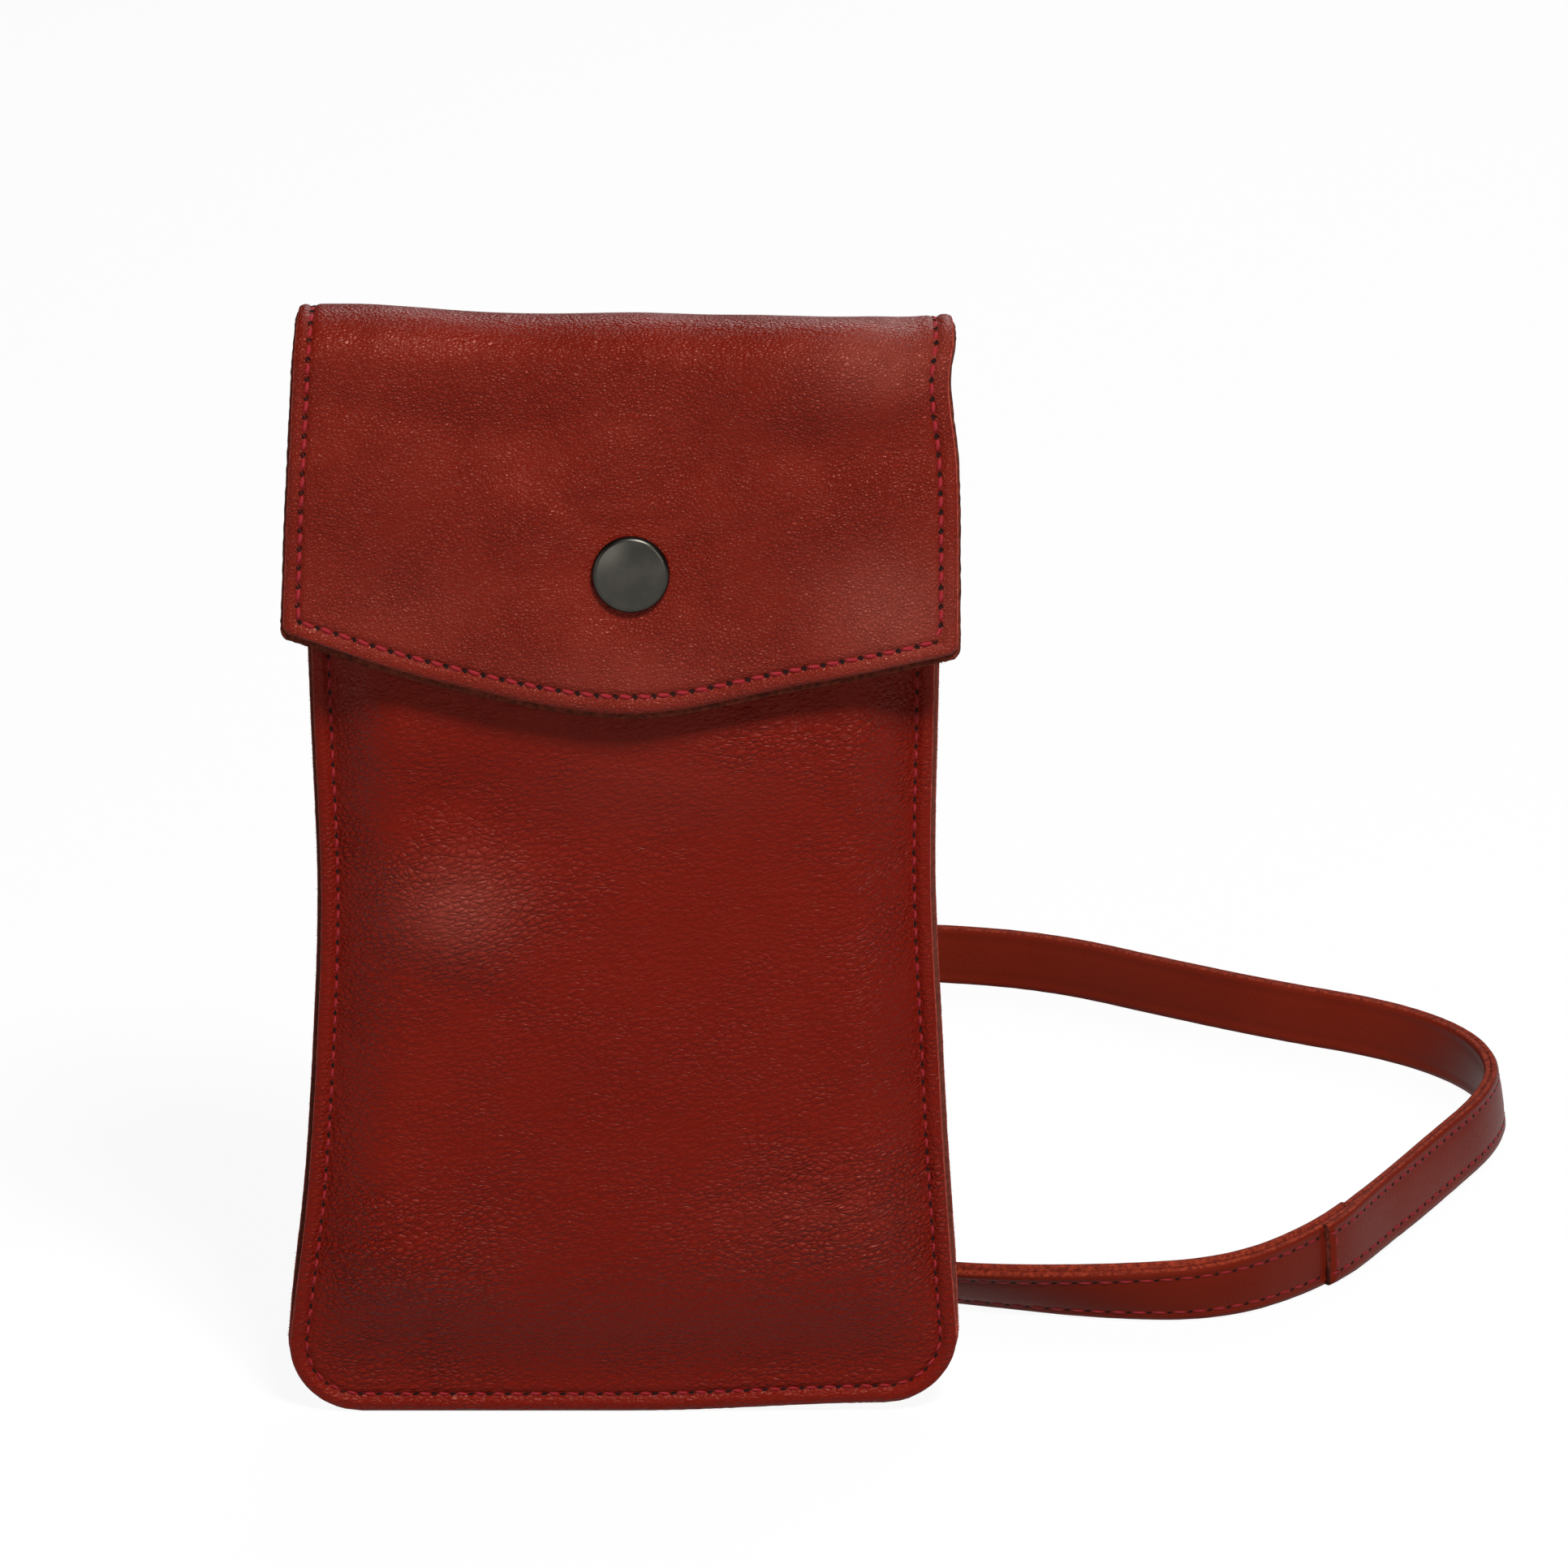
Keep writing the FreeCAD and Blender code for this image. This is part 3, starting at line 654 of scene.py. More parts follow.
@dataclass
class Shape:
    """Points and faces that are collected for one piece, with thread coordinates where it is sewn."""

    points: List[Vector] = field(default_factory=list)
    faces: List[Tuple[int, ...]] = field(default_factory=list)
    which: List[int] = field(default_factory=list)
    along: List[Flat] = field(default_factory=list)

    def face(self, slot: int, *corners: int) -> None:
        """Add a face in a material slot."""
        self.faces.append(corners)
        self.which.append(slot)

    def tube(self, first: int, rings: int, sides: int, slot: Callable[[int], int] = lambda side: 0,
             cap: int = 0) -> None:
        """Join rings of points to a closed tube.

        Args:
            first: Number of the first ring's first point.
            rings: How many rings follow each other.
            sides: Points in a ring.
            slot: Material slot for each side.
            cap: Material slot of both ends.
        """
        for ring in range(rings - 1):
            for side in range(sides):
                a = first + ring * sides + side
                b = first + ring * sides + (side + 1) % sides
                self.face(slot(side), a, b, b + sides, a + sides)
        last = first + (rings - 1) * sides
        self.face(cap, *(first + k for k in reversed(range(sides))))
        self.face(cap, *(last + k for k in range(sides)))

    def piece(self, name: str, finishes: Sequence[Finish]) -> Piece:
        """Make a smooth-shaded object whose faces look outwards.

        Args:
            name: Name of the piece.
            finishes: Finishes for its material slots.

        Returns:
            The new object, linked to the scene.
        """
        mesh = bpy.data.meshes.new(name)
        mesh.from_pydata([tuple(p) for p in self.points], [], self.faces)
        for finish in finishes:
            mesh.materials.append(finish.material())
        mesh.polygons.foreach_set("material_index", self.which)
        mesh.polygons.foreach_set("use_smooth", [True] * len(mesh.polygons))
        work = bmesh.new()
        work.from_mesh(mesh)
        bmesh.ops.recalc_face_normals(work, faces=work.faces[:])
        work.to_mesh(mesh)
        work.free()
        mesh.update()
        return add_object(name, mesh)


def carry(thing: Piece, name: str, values: Sequence[float]) -> None:
    """Give a mesh a value at each of its points."""
    layer = thing.data.attributes.new(name, "FLOAT", "POINT")
    layer.data.foreach_set("value", list(values))


def settle(piece: Piece, body: Body, slot: Slot, *nodes: str) -> Piece:
    """Let a piece ride on a body and stand for CAD nodes.

    Args:
        piece: The piece.
        body: What it rides on.
        slot: The record's material slot; not used.
        nodes: CAD nodes that it replaces.

    Returns:
        The piece.
    """
    if nodes:
        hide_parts(*nodes)
    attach(piece, body.value)
    return piece


class Relief:
    """Something that raises or sinks the leather, in millimetres."""

    def at(self, x: float, z: float) -> float:
        """Rise at a place; each kind of relief has its own."""
        raise NotImplementedError


@dataclass(frozen=True)
class Crease(Relief):
    """A soft line pressed into the leather, which fades towards both ends."""

    start: Flat
    end: Flat
    width: float
    depth: float
    fade: Flat = (-0.25, 0.3)

    def at(self, x: float, z: float) -> float:
        """Rise at a place.

        Args:
            x: Place across.
            z: Place along the leather's height.

        Returns:
            The rise, which is negative.
        """
        ax, az = self.start
        dx, dz = self.end[0] - ax, self.end[1] - az
        share = ((x - ax) * dx + (z - az) * dz) / (dx * dx + dz * dz)
        held = clamp(share)
        off = math.hypot(x - ax - dx * held, z - az - dz * held)
        return -self.depth * bell(off, self.width) * ease(share, *self.fade) * ease(1.0 - share, *self.fade)


@dataclass(frozen=True)
class Swell(Relief):
    """A soft bulge or dent."""

    place: Flat
    reach: Flat
    rise: float

    def at(self, x: float, z: float) -> float:
        """Rise at a place."""
        dx, dz = (x - self.place[0]) / self.reach[0], (z - self.place[1]) / self.reach[1]
        return self.rise * math.exp(-(dx * dx + dz * dz))


@dataclass(frozen=True)
class Cloud(Relief):
    """Smooth seeded unevenness all over."""

    height: float
    size: float
    seed: float

    def at(self, x: float, z: float) -> float:
        """Rise at a place."""
        return self.height * noise.noise(Vector((x / self.size, z / self.size, self.seed)))


def rise_of(reliefs: Sequence[Relief], x: float, z: float) -> float:
    """Rise that several reliefs give together at a place."""
    return sum(relief.at(x, z) for relief in reliefs)


@dataclass
class LeatherSheet:
    """A leather sheet with thickness: grids for its two faces and a cut edge between."""

    name: str
    face: Grid
    under: Grid
    pebbling: List[List[float]]
    finishes: Tuple[Finish, Finish, Finish]
    edge_bulge: float = 0.15 * MM
    edge_fuzz: float = 0.05 * MM
    edge_shares: Tuple[float, ...] = (0.15, 0.5, 0.85)
    edge_pebbling: float = 0.3
    fuzz_scale: float = 2400.0
    fuzz_shift: float = 9.0
    open_rim: OpenRim = OpenRim.NONE
    # Patches of painted sheen: the mesh carries their sum as the value that lightens the colour.
    painted_sheen: Tuple[Swell, ...] = ()

    def build(self) -> Piece:
        """Join the two grids by their cut edge.

        Returns:
            The sheet.
        """
        rows = len(self.face)
        columns = len(self.face[0])
        shape = Shape([p for row in self.face for p in row])
        offset = len(shape.points)
        shape.points += [p for row in self.under for p in row]
        for r in range(rows - 1):
            for c in range(columns - 1):
                a = r * columns + c
                quad = (a, a + 1, a + columns + 1, a + columns)
                shape.face(0, *quad)
                shape.face(2, *(offset + i for i in reversed(quad)))
        rim = self.rim(rows, columns)
        open_row = {OpenRim.FIRST_ROW: 0, OpenRim.LAST_ROW: rows - 1}.get(self.open_rim, -1)
        plain = [i // columns == open_row for i in rim]
        rings = [rim]
        rings += [self.edge_ring(shape.points, rim, plain, offset, share) for share in self.edge_shares]
        rings.append([offset + i for i in rim])
        flat: List[int] = []
        for n in range(len(rim)):
            m = (n + 1) % len(rim)
            for first, second in zip(rings, rings[1:]):
                if plain[n] and plain[m]:
                    flat.append(len(shape.faces))
                shape.face(1, first[m], first[n], second[n], second[m])
        sheet = shape.piece(self.name, self.finishes)
        for number in flat:
            sheet.data.polygons[number].use_smooth = False
        values = [v for row in self.pebbling for v in row]
        carry(sheet, "pebbling", values + [self.edge_pebbling] * (len(sheet.data.vertices) - len(values)))
        carry(sheet, "painted_sheen", [rise_of(self.painted_sheen, v.co.x / MM, v.co.z / MM) for v in sheet.data.vertices])
        return sheet

    @staticmethod
    def rim(rows: int, columns: int) -> List[int]:
        """Go round a grid's edge.

        Args:
            rows: The grid's rows.
            columns: Points in a row.

        Returns:
            Numbers of the points round it, in order.
        """
        found = list(range(columns))
        found += [r * columns + columns - 1 for r in range(1, rows)]
        found += [(rows - 1) * columns + c for c in range(columns - 2, -1, -1)]
        return found + [r * columns for r in range(rows - 2, 0, -1)]

    def edge_ring(self, points: List[Vector], rim: Sequence[int], plain: Sequence[bool], offset: int,
                  share: float) -> List[int]:
        """Add one line of points round the cut edge.

        Args:
            points: Points to add to.
            rim: The face's points round the edge.
            plain: Which of them have no cut edge.
            offset: From a face's point to the one under it.
            share: How far from the face to the underside.

        Returns:
            Numbers of the new points.
        """
        centre = sum((points[i] for i in rim), Vector()) / len(rim)
        ring = []
        for number, i in enumerate(rim):
            top, low = points[i], points[offset + i]
            before = points[rim[number - 1]]
            after = points[rim[(number + 1) % len(rim)]]
            out = (after - before).cross(top - low).normalized()
            if out.dot(top - centre) < 0.0:
                out = -out
            fuzz = self.edge_fuzz * noise.noise(top * self.fuzz_scale + UP * (share * self.fuzz_shift))
            swell = self.edge_bulge * math.sin(math.pi * share)
            point = top.lerp(low, share) + out * (0.0 if plain[number] else swell + fuzz)
            point.z = max(point.z, 0.0)
            ring.append(len(points))
            points.append(point)
        return ring


@dataclass
class Fuzz:
    """Short loose fibres along a raw edge."""

    per_mm: float = 7.0
    shortest: float = 0.12 * MM
    longest: float = 0.6 * MM
    thick: float = 0.035 * MM
    sunk: float = 0.1 * MM
    lean: Flat = (0.9, 0.7)
    seed: int = 5

    def grow(self, shape: Shape, line: Row) -> None:
        """Grow fibres along a line.

        Args:
            shape: What they are added to.
            line: Points of the edge with the ways out of it.
        """
        dice = random.Random(self.seed)
        for (start, out), (end, _) in zip(line, line[1:]):
            way = (end - start).normalized()
            beside = out.cross(way)
            for _ in range(int((end - start).length / MM * self.per_mm + dice.random())):
                root = start.lerp(end, dice.random()) - out * self.sunk
                lean = way * dice.uniform(-self.lean[0], self.lean[0])
                lean += beside * dice.uniform(-self.lean[1], self.lean[1])
                tip = root + (out + lean).normalized() * dice.uniform(self.shortest, self.longest)
                first = len(shape.points)
                shape.points += [root + side * self.thick for side in (way, -way, beside)] + [tip]
                for a, b in ((0, 1), (1, 2), (2, 0)):
                    shape.face(0, first + a, first + b, first + 3)


@dataclass(frozen=True)
class PouchForm:
    """The pouch's outline and the way its leather bellies, all in millimetres.

    A pair whose name ends in span gives where a change starts and where it is complete. coarse
    holds where the grain is coarser, and the painted sheen swells where a painted highlight lightens
    the leather's colour.
    """

    seam: float = 4.162
    base_half: float = 55.6
    mouth: float = 172.0
    corner: float = 12.0
    sides: Line = ((12, 55.6), (40, 52.8), (66, 51.1), (92, 49.95), (120, 50.4), (172, 51.5))
    lining: float = 0.7
    leather: float = 1.3
    front_rise: float = 6.5
    back_rise: float = 3.5
    stitch_inset: float = 3.0
    puff: float = 0.22
    puff_inset: float = 1.5
    puff_width: float = 1.0
    rounding: float = 0.3
    flap_half: float = 52.5
    flap_span: Flat = (162.0, 174.0)
    back_margin: float = 0.45
    margin_span: Flat = (4.0, 30.0)
    side_span: Flat = (3.8, 17.0)
    side_start: float = -0.35
    side_curve: float = 1.6
    foot_span: Flat = (4.4, 34.0)
    foot_curve: float = 1.5
    crown: float = 0.06
    crown_half: float = 50.0
    flat_span: Flat = (152.0, 171.0)
    flat_sink: float = 0.25
    lean: float = 0.35
    lean_height: float = 72.0
    lean_reach: float = 32.0
    foot_shift: float = 0.85
    shift_span: Flat = (0.0, 42.0)
    foot_lift: float = 1.5
    lift_across: Flat = (0.0, 46.0)
    lift_span: Flat = (0.0, 40.0)
    plain_grain: float = 0.42
    strip_grain: float = 0.15
    strip_span: Flat = (3.2, 5.0)
    strip_end_span: Flat = (8.5, 17.0)
    front_relief: Tuple[Relief, ...] = (
        Swell((-28, 89), (11, 12), 2.8),
        Swell((-14, 60), (20, 26), 0.35),
        Swell((22, 78), (24, 34), 0.3),
        Swell((-37, 28), (9, 10), 0.8),
        Swell((-20, 28), (9, 12), -0.5),
        Swell((34, 36), (12, 9), 0.6),
        Swell((10, 24), (18, 8), -0.4),
        Swell((-6, 106), (22, 9), -0.5),
        Swell((-30, 112), (14, 7), -0.7),
        Swell((0, 119), (62, 14), 2.2),
        Crease((26, 26), (49, 34), 1.2, 0.25),
        Crease((24, 31), (46, 38), 1.2, 0.25),
        Crease((18, 34), (40, 42), 1.3, 0.22),
        Crease((28, 22), (50, 28), 1.1, 0.22),
        Crease((30, 38), (50, 45), 1.2, 0.22),
        Crease((12, 38), (30, 44), 1.3, 0.18),
        Crease((-52, 46), (-36, 50), 1.0, 0.2),
        Crease((-52, 38), (-34, 43), 1.0, 0.22),
        Crease((-51, 31), (-31, 35), 1.0, 0.22),
        Crease((-51, 25), (-33, 28), 0.9, 0.2),
        Crease((-50, 20), (-34, 22), 0.9, 0.18),
        Crease((-44, 104), (-24, 111), 2.6, 0.3),
        Crease((-40, 82), (-18, 72), 3.0, 0.25),
        Crease((-8, 118), (20, 114), 3.0, 0.25),
        Crease((30, 112), (44, 96), 2.4, 0.25),
        Cloud(0.35, 24.0, 3.1),
        Cloud(0.12, 8.0, 7.7),
    )
    back_relief: Tuple[Relief, ...] = (Cloud(0.4, 30.0, 12.3), Cloud(0.12, 9.0, 2.2))
    coarse: Tuple[Swell, ...] = (
        Swell((-27, 92), (15, 13), 0.7),
        Swell((-37, 28), (15, 18), 0.8),
        Swell((33, 38), (22, 14), 0.7),
        Swell((18, 122), (24, 8), 0.35),
    )
    # Patches of painted sheen: the leather's colour is lightened there as a painted highlight.
    painted_sheen: Tuple[Swell, ...] = (
        Swell((-27, 91), (10, 8), 0.26),
        Swell((33, 37), (16, 8), 0.07),
        Swell((4, 112), (20, 9), 0.06),
    )

    def half(self, z: float) -> float:
        """Half the pouch's width at a height."""
        return through(self.sides, z) - corner_inset(self.corner, z)

    def back_half(self, z: float) -> float:
        """Half the back leather's width at a height, which goes out to the flap's above the mouth."""
        lower = self.half(min(z, self.mouth)) + self.back_margin * ease(z, *self.margin_span)
        return lower + (self.flap_half - lower) * ease(z, *self.flap_span)

    def edge(self, x: float, z: float) -> float:
        """Measure the way from a place to the pouch's outline.

        Args:
            x, z: Place across and height.

        Returns:
            The distance.
        """
        middle = self.base_half - self.corner
        if abs(x) > middle and z < self.corner:
            return self.corner - math.hypot(abs(x) - middle, self.corner - z)
        return min(self.half(z) - abs(x), z)

    def belly(self, x: float, z: float) -> float:
        """Shape the belly, which rises from the border in rounded walls.

        Args:
            x, z: Place across and height.

        Returns:
            Share of the belly's rise, 0 on the border and 1 in the middle.
        """
        start, end = self.side_span
        inside = ease(clamp((self.half(z) - abs(x) - start) / (end - start)), self.side_start, 1.0)
        upward = ease(z, *self.foot_span)
        return (1.0 - (1.0 - inside) ** self.side_curve) * (1.0 - (1.0 - upward) ** self.foot_curve)

    def border(self, edge: float) -> float:
        """Shape the flat border, which is puffed, sewn in and rounded off.

        Args:
            edge: Distance from the outline.

        Returns:
            The border's rise there.
        """
        puffed = self.puff * bell(edge - self.puff_inset, self.puff_width)
        sewn = GROOVE_DEPTH * bell(edge - self.stitch_inset, GROOVE_WIDTH)
        return puffed - sewn - self.rounding * clamp(1.0 - edge) ** 2

    def front(self, x: float, z: float, relief: float = 1.0) -> float:
        """Shape the front leather.

        Args:
            x, z: Place across and height.
            relief: Share of the unevenness.

        Returns:
            Distance of its face from the seam plane.
        """
        belly = self.belly(x, z)
        crowned = 1.0 - self.crown * (x / self.crown_half) ** 2
        off = relief * (rise_of(self.front_relief, x, z) * belly + self.border(self.edge(x, z)))
        return self.lining + self.leather + self.front_rise * belly * crowned + off

    def back(self, x: float, z: float, relief: float = 1.0) -> float:
        """Shape the back leather, which has no border near its top.

        Args:
            x, z: Place across and height.
            relief: Share of the unevenness.

        Returns:
            Distance of its face from the seam plane.
        """
        upper = ease(z, *self.flat_span)
        belly = self.belly(x, z)
        soft = rise_of(self.back_relief, x, z) - self.flat_sink * upper
        off = relief * (soft * belly + self.border(self.edge(x, z)) * (1.0 - upper))
        return self.lining + self.leather + self.back_rise * (belly + (1.0 - belly) * upper) + off

    def pebbling(self, x: float, z: float) -> float:
        """Say how coarse the grain is.

        Args:
            x, z: Place across and height.

        Returns:
            From 0, smooth, to 1, pebbled.
        """
        edge = self.edge(x, z)
        strip = self.strip_grain * ease(edge, *self.strip_span) * (1.0 - ease(edge, *self.strip_end_span))
        return clamp(self.plain_grain + strip + rise_of(self.coarse, x, z))

    def swayed(self, x: float, z: float) -> Flat:
        """Let the pouch lean a little and stand unevenly.

        Args:
            x, z: Place across and height.

        Returns:
            Where the place is then.
        """
        aside = self.lean * bell(z - self.lean_height, self.lean_reach)
        aside -= self.foot_shift * (1.0 - ease(z, *self.shift_span))
        lift = self.foot_lift * ease(x, *self.lift_across) * (1.0 - ease(z, *self.lift_span))
        return x + aside, z + lift


EDGE_STEPS = (
    0.0, 0.35, 0.8, 1.3, 1.8, 2.3, 2.7, 3.0, 3.3, 3.7, 4.2, 4.8, 5.5, 6.3, 7.2, 8.2, 9.4, 10.8, 12.4)
GRID_SPAN = 100.0


def columns_of(step: float) -> List[float]:
    """Lay out a grid's columns over the usual span, close together at both ends.

    Args:
        step: Spacing between the ends, about.

    Returns:
        Places of the columns.
    """
    inner = GRID_SPAN - 2.0 * EDGE_STEPS[-1]
    count = round(inner / step)
    middle = [EDGE_STEPS[-1] + inner * k / count for k in range(1, count)]
    return list(EDGE_STEPS) + middle + [GRID_SPAN - e for e in reversed(EDGE_STEPS)]


def between(place: float, left: float, right: float) -> float:
    """Put a grid's column between two edges, true to size near both of them.

    Args:
        place: The column's place in the usual span.
        left: The left edge.
        right: The right edge.

    Returns:
        Where the column lies.
    """
    edge = EDGE_STEPS[-1]
    if place <= edge:
        return left + place
    if place >= GRID_SPAN - edge:
        return right - (GRID_SPAN - place)
    return left + edge + (place - edge) / (GRID_SPAN - 2.0 * edge) * (right - left - 2.0 * edge)


@dataclass(frozen=True)
class Span:
    """The stretch of one stitch: its two holes and the leather's normal between them."""

    start: Vector
    end: Vector
    normal: Vector

    def slanted(self, ahead: float, aside: float) -> Tuple[Vector, Vector]:
        """Turn the way from hole to hole about the normal.

        Args:
            ahead: Part along the way.
            aside: Part across it.

        Returns:
            The turned direction and the one beside it.
        """
        straight = (self.end - self.start).normalized()
        across = straight.cross(self.normal).normalized()
        way = (straight * ahead + across * aside).normalized()
        return way, way.cross(self.normal).normalized()


@dataclass(frozen=True)
class Stitching:
    """Rows of separate stitches with a needle hole between each two, in metres and shares."""

    pitch: float = 3.05 * MM
    length: float = 2.15 * MM
    thick: float = 0.42 * MM
    slant: float = 0.2 * MM
    hole: Flat = (0.52 * MM, 0.44 * MM)
    sunk: Flat = (GROOVE_DEPTH * MM, GROOVE_WIDTH * MM)
    hole_rise: float = 0.05 * MM
    taper: float = 0.14
    plumpness: float = 0.6
    arch: float = 0.6
    dip: float = 0.35
    flatness: float = 0.8
    twists: float = 2.0
    rings: int = 5
    sides: int = 8

    def build(self, name: str, rows: Sequence[Row]) -> Piece:
        """Sew rows of stitches.

        Args:
            name: Name of the piece.
            rows: Each row as points with the leather's normals there, close together.

        Returns:
            All the rows as one piece.
        """
        shape = Shape()
        for row in rows:
            for span in self.spans(row):
                self.stitch(shape, span)
                self.needle_hole(shape, span)
        thing = shape.piece(name, (THREAD, HOLE))
        layer = thing.data.uv_layers.new(name="along")
        corners = [part for loop in thing.data.loops for part in shape.along[loop.vertex_index]]
        layer.data.foreach_set("uv", corners)
        return thing

    def spans(self, row: Row) -> List[Span]:
        """Divide a row into stitches of one pitch.

        Args:
            row: Points with normals.

        Returns:
            The stretch of each stitch.
        """
        lengths = [0.0]
        for (a, _), (b, _) in zip(row, row[1:]):
            lengths.append(lengths[-1] + (b - a).length)
        count = max(1, round(lengths[-1] / self.pitch))
        places: Row = []
        index = 0
        for k in range(count + 1):
            want = lengths[-1] * k / count
            while index < len(lengths) - 2 and lengths[index + 1] < want:
                index += 1
            share = clamp((want - lengths[index]) / (lengths[index + 1] - lengths[index]))
            point = row[index][0].lerp(row[index + 1][0], share)
            places.append((point, row[index][1].lerp(row[index + 1][1], share).normalized()))
        return [Span(a, b, (m + n).normalized()) for (a, m), (b, n) in zip(places, places[1:])]

    def stitch(self, shape: Shape, span: Span) -> None:
        """Add one plump stitch whose ends dip into the leather.

        Args:
            shape: What it is added to.
            span: Its stretch.
        """
        way, beside = span.slanted(self.length, 2.0 * self.slant)
        middle = (span.start + span.end) * 0.5
        first = len(shape.points)
        for ring in range(self.rings):
            share = ring / (self.rings - 1)
            fullness = math.sin(math.pi * (self.taper + (1.0 - 2.0 * self.taper) * share))
            radius = self.thick * fullness ** self.plumpness
            rise = self.thick * (self.arch * math.sin(math.pi * share) - self.dip)
            centre = middle + way * (self.length * (share - 0.5)) + span.normal * rise
            for side in range(self.sides):
                turn = 2.0 * math.pi * side / self.sides
                spread = beside * math.cos(turn) + span.normal * (self.flatness * math.sin(turn))
                shape.points.append(centre + spread * radius)
                shape.along.append((share * self.twists, side / self.sides))
        shape.tube(first, self.rings, self.sides)

    def needle_hole(self, shape: Shape, span: Span) -> None:
        """Add the dark slot that a stitch comes out of: a disc of painted shade where the hole is.

        Args:
            shape: What it is added to.
            span: The stitch's stretch.
        """
        length, width = self.hole
        way, beside = span.slanted(length, -0.5 * width)
        first = len(shape.points)
        for side in range(self.sides):
            turn = 2.0 * math.pi * side / self.sides
            off = width * math.sin(turn)
            rise = self.sunk[0] * (1.0 - bell(off, self.sunk[1])) + self.hole_rise
            place = span.start + way * (length * math.cos(turn)) + beside * off
            shape.points.append(place + span.normal * rise)
        shape.points.append(span.start + span.normal * self.hole_rise)
        shape.along += [(0.0, 0.0)] * (self.sides + 1)
        for side in range(self.sides):
            shape.face(1, first + side, first + (side + 1) % self.sides, first + self.sides)


@dataclass
class Panels:
    """The pouch's front leather, both linings, the seam's stitches and the back's form, in millimetres."""

    form: PouchForm = PouchForm()
    sewing: Stitching = Stitching(
        length=1.75 * MM, thick=0.3 * MM, slant=0.12 * MM, hole=(0.6 * MM, 0.27 * MM))
    fine_step: float = 1.1
    coarse_step: float = 2.4
    cut_share: float = 0.93
    front_bulge: float = 0.5
    front_fuzz: float = 0.1
    front_shrink: float = 0.4
    foot_share: float = 0.2
    lining_gap: float = 0.06
    lining_thick: float = 0.64
    lining_relief: float = 0.55
    lining_least: float = 0.02
    lining_slack: float = 0.35
    lining_short: float = 0.3
    lining_shrink: float = 0.2
    lining_bulge: float = 0.05
    back_row_top: float = 158.0
    seam_start: float = 0.5
    seam_step: float = 0.8
    corner_steps: int = 18
    foot_steps: int = 40
    fuzz_short: float = 20.0
    fuzz_depth: float = 0.65
    fuzz_step: float = 2.0
    fuzz_seed: int = 11

    def stood(self, x: float, z: float, depth: float) -> Vector:
        """Point in metres at a flat place and a distance behind the seam plane."""
        aside, height = self.form.swayed(x, z)
        return Vector((aside, self.form.seam + depth, height)) * MM

    def front_point(self, x: float, z: float) -> Vector:
        """Point of the front leather's face."""
        return self.stood(x, z, -self.form.front(x, z))

    def back_point(self, x: float, z: float) -> Vector:
        """Point of the back leather's face."""
        return self.stood(x, z, self.form.back(x, z))

    def front_lining_point(self, x: float, z: float) -> Vector:
        """Point of the front lining's face, under the front leather."""
        depth = self.form.front(x, z, self.lining_relief) - self.form.leather - self.lining_gap
        return self.stood(x, z, -max(depth, self.form.lining + self.lining_least))

    def back_lining_point(self, x: float, z: float) -> Vector:
        """Point of the back lining's face, under the back leather."""
        rise = self.form.back_rise - self.lining_slack
        return self.stood(x, z, self.form.lining + rise * self.form.belly(x, z))

    def places(self, half: Callable[[float], float], top: float, step: float, shrink: float = 0.0) -> Places:
        """Lay out a panel's grid.

        Args:
            half: Half the panel's width at a height.
            top: Height of the panel's top.
            step: Spacing away from the edges.
            shrink: How far the grid stays inside the outline at its sides.

        Returns:
            Rows of flat places from the foot up.
        """
        count = round((top - EDGE_STEPS[-1]) / step)
        rise = (top - EDGE_STEPS[-1]) / count
        heights = list(EDGE_STEPS) + [EDGE_STEPS[-1] + rise * (k + 1) for k in range(count)]
        foot = self.foot_share * shrink
        found = []
        for z in heights:
            width = half(z) - shrink
            height = foot + z * (top - foot) / top
            found.append([(between(place, -width, width), height) for place in columns_of(step)])
        return found

    @staticmethod
    def faces(places: Places, surface: Surface, outward: Vector, thick: float) -> Tuple[Grid, Grid]:
        """Put a grid on a surface.

        Args:
            places: The grid's flat places.
            surface: The surface.
            outward: Rough direction of its outer side.
            thick: Thickness in metres.

        Returns:
            Points of the face and of the underside.
        """
        face = [[surface(x, z) for x, z in row] for row in places]
        under = [[surface(x, z) - surface_normal(surface, (x, z), outward) * thick for x, z in row]
                 for row in places]
        for point in (p for row in under for p in row):
            point.z = max(point.z, 0.0)
        return face, under

    def build_front(self) -> Piece:
        """Make the front leather.

        Returns:
            The front leather.
        """
        places = self.places(self.form.half, self.form.mouth, self.fine_step, self.front_shrink)
        face, under = self.faces(places, self.front_point, -BACKWARD, self.form.leather * MM)
        pebbling = [[self.form.pebbling(x, z) for x, z in row] for row in places]
        front = LeatherSheet(
            "front_leather", face, under, pebbling, (BODY_LEATHER, CUT_EDGE, POCKET_SUEDE),
            edge_bulge=self.front_bulge * MM, edge_fuzz=self.front_fuzz * MM, painted_sheen=self.form.painted_sheen).build()
        return settle(front, Body.POUCH, Slot.LEATHER, "front_panel")

    def build_linings(self) -> List[Piece]:
        """Make both linings, a little inside the leather.

        Returns:
            The front lining and the back lining.
        """
        made = []
        for name, surface, outward in (
                ("front_lining", self.front_lining_point, -BACKWARD),
                ("back_lining", self.back_lining_point, BACKWARD)):
            top = self.form.mouth - self.lining_short
            places = self.places(self.form.half, top, self.coarse_step, self.lining_shrink)
            face, under = self.faces(places, surface, outward, self.lining_thick * MM)
            smooth = [[0.0] * len(row) for row in places]
            lining = LeatherSheet(
                f"{name}_suede", face, under, smooth, (POCKET_SUEDE, CUT_EDGE, POCKET_SUEDE),
                edge_bulge=self.lining_bulge * MM).build()
            made.append(settle(lining, Body.POUCH, Slot.LINING, name))
        return made

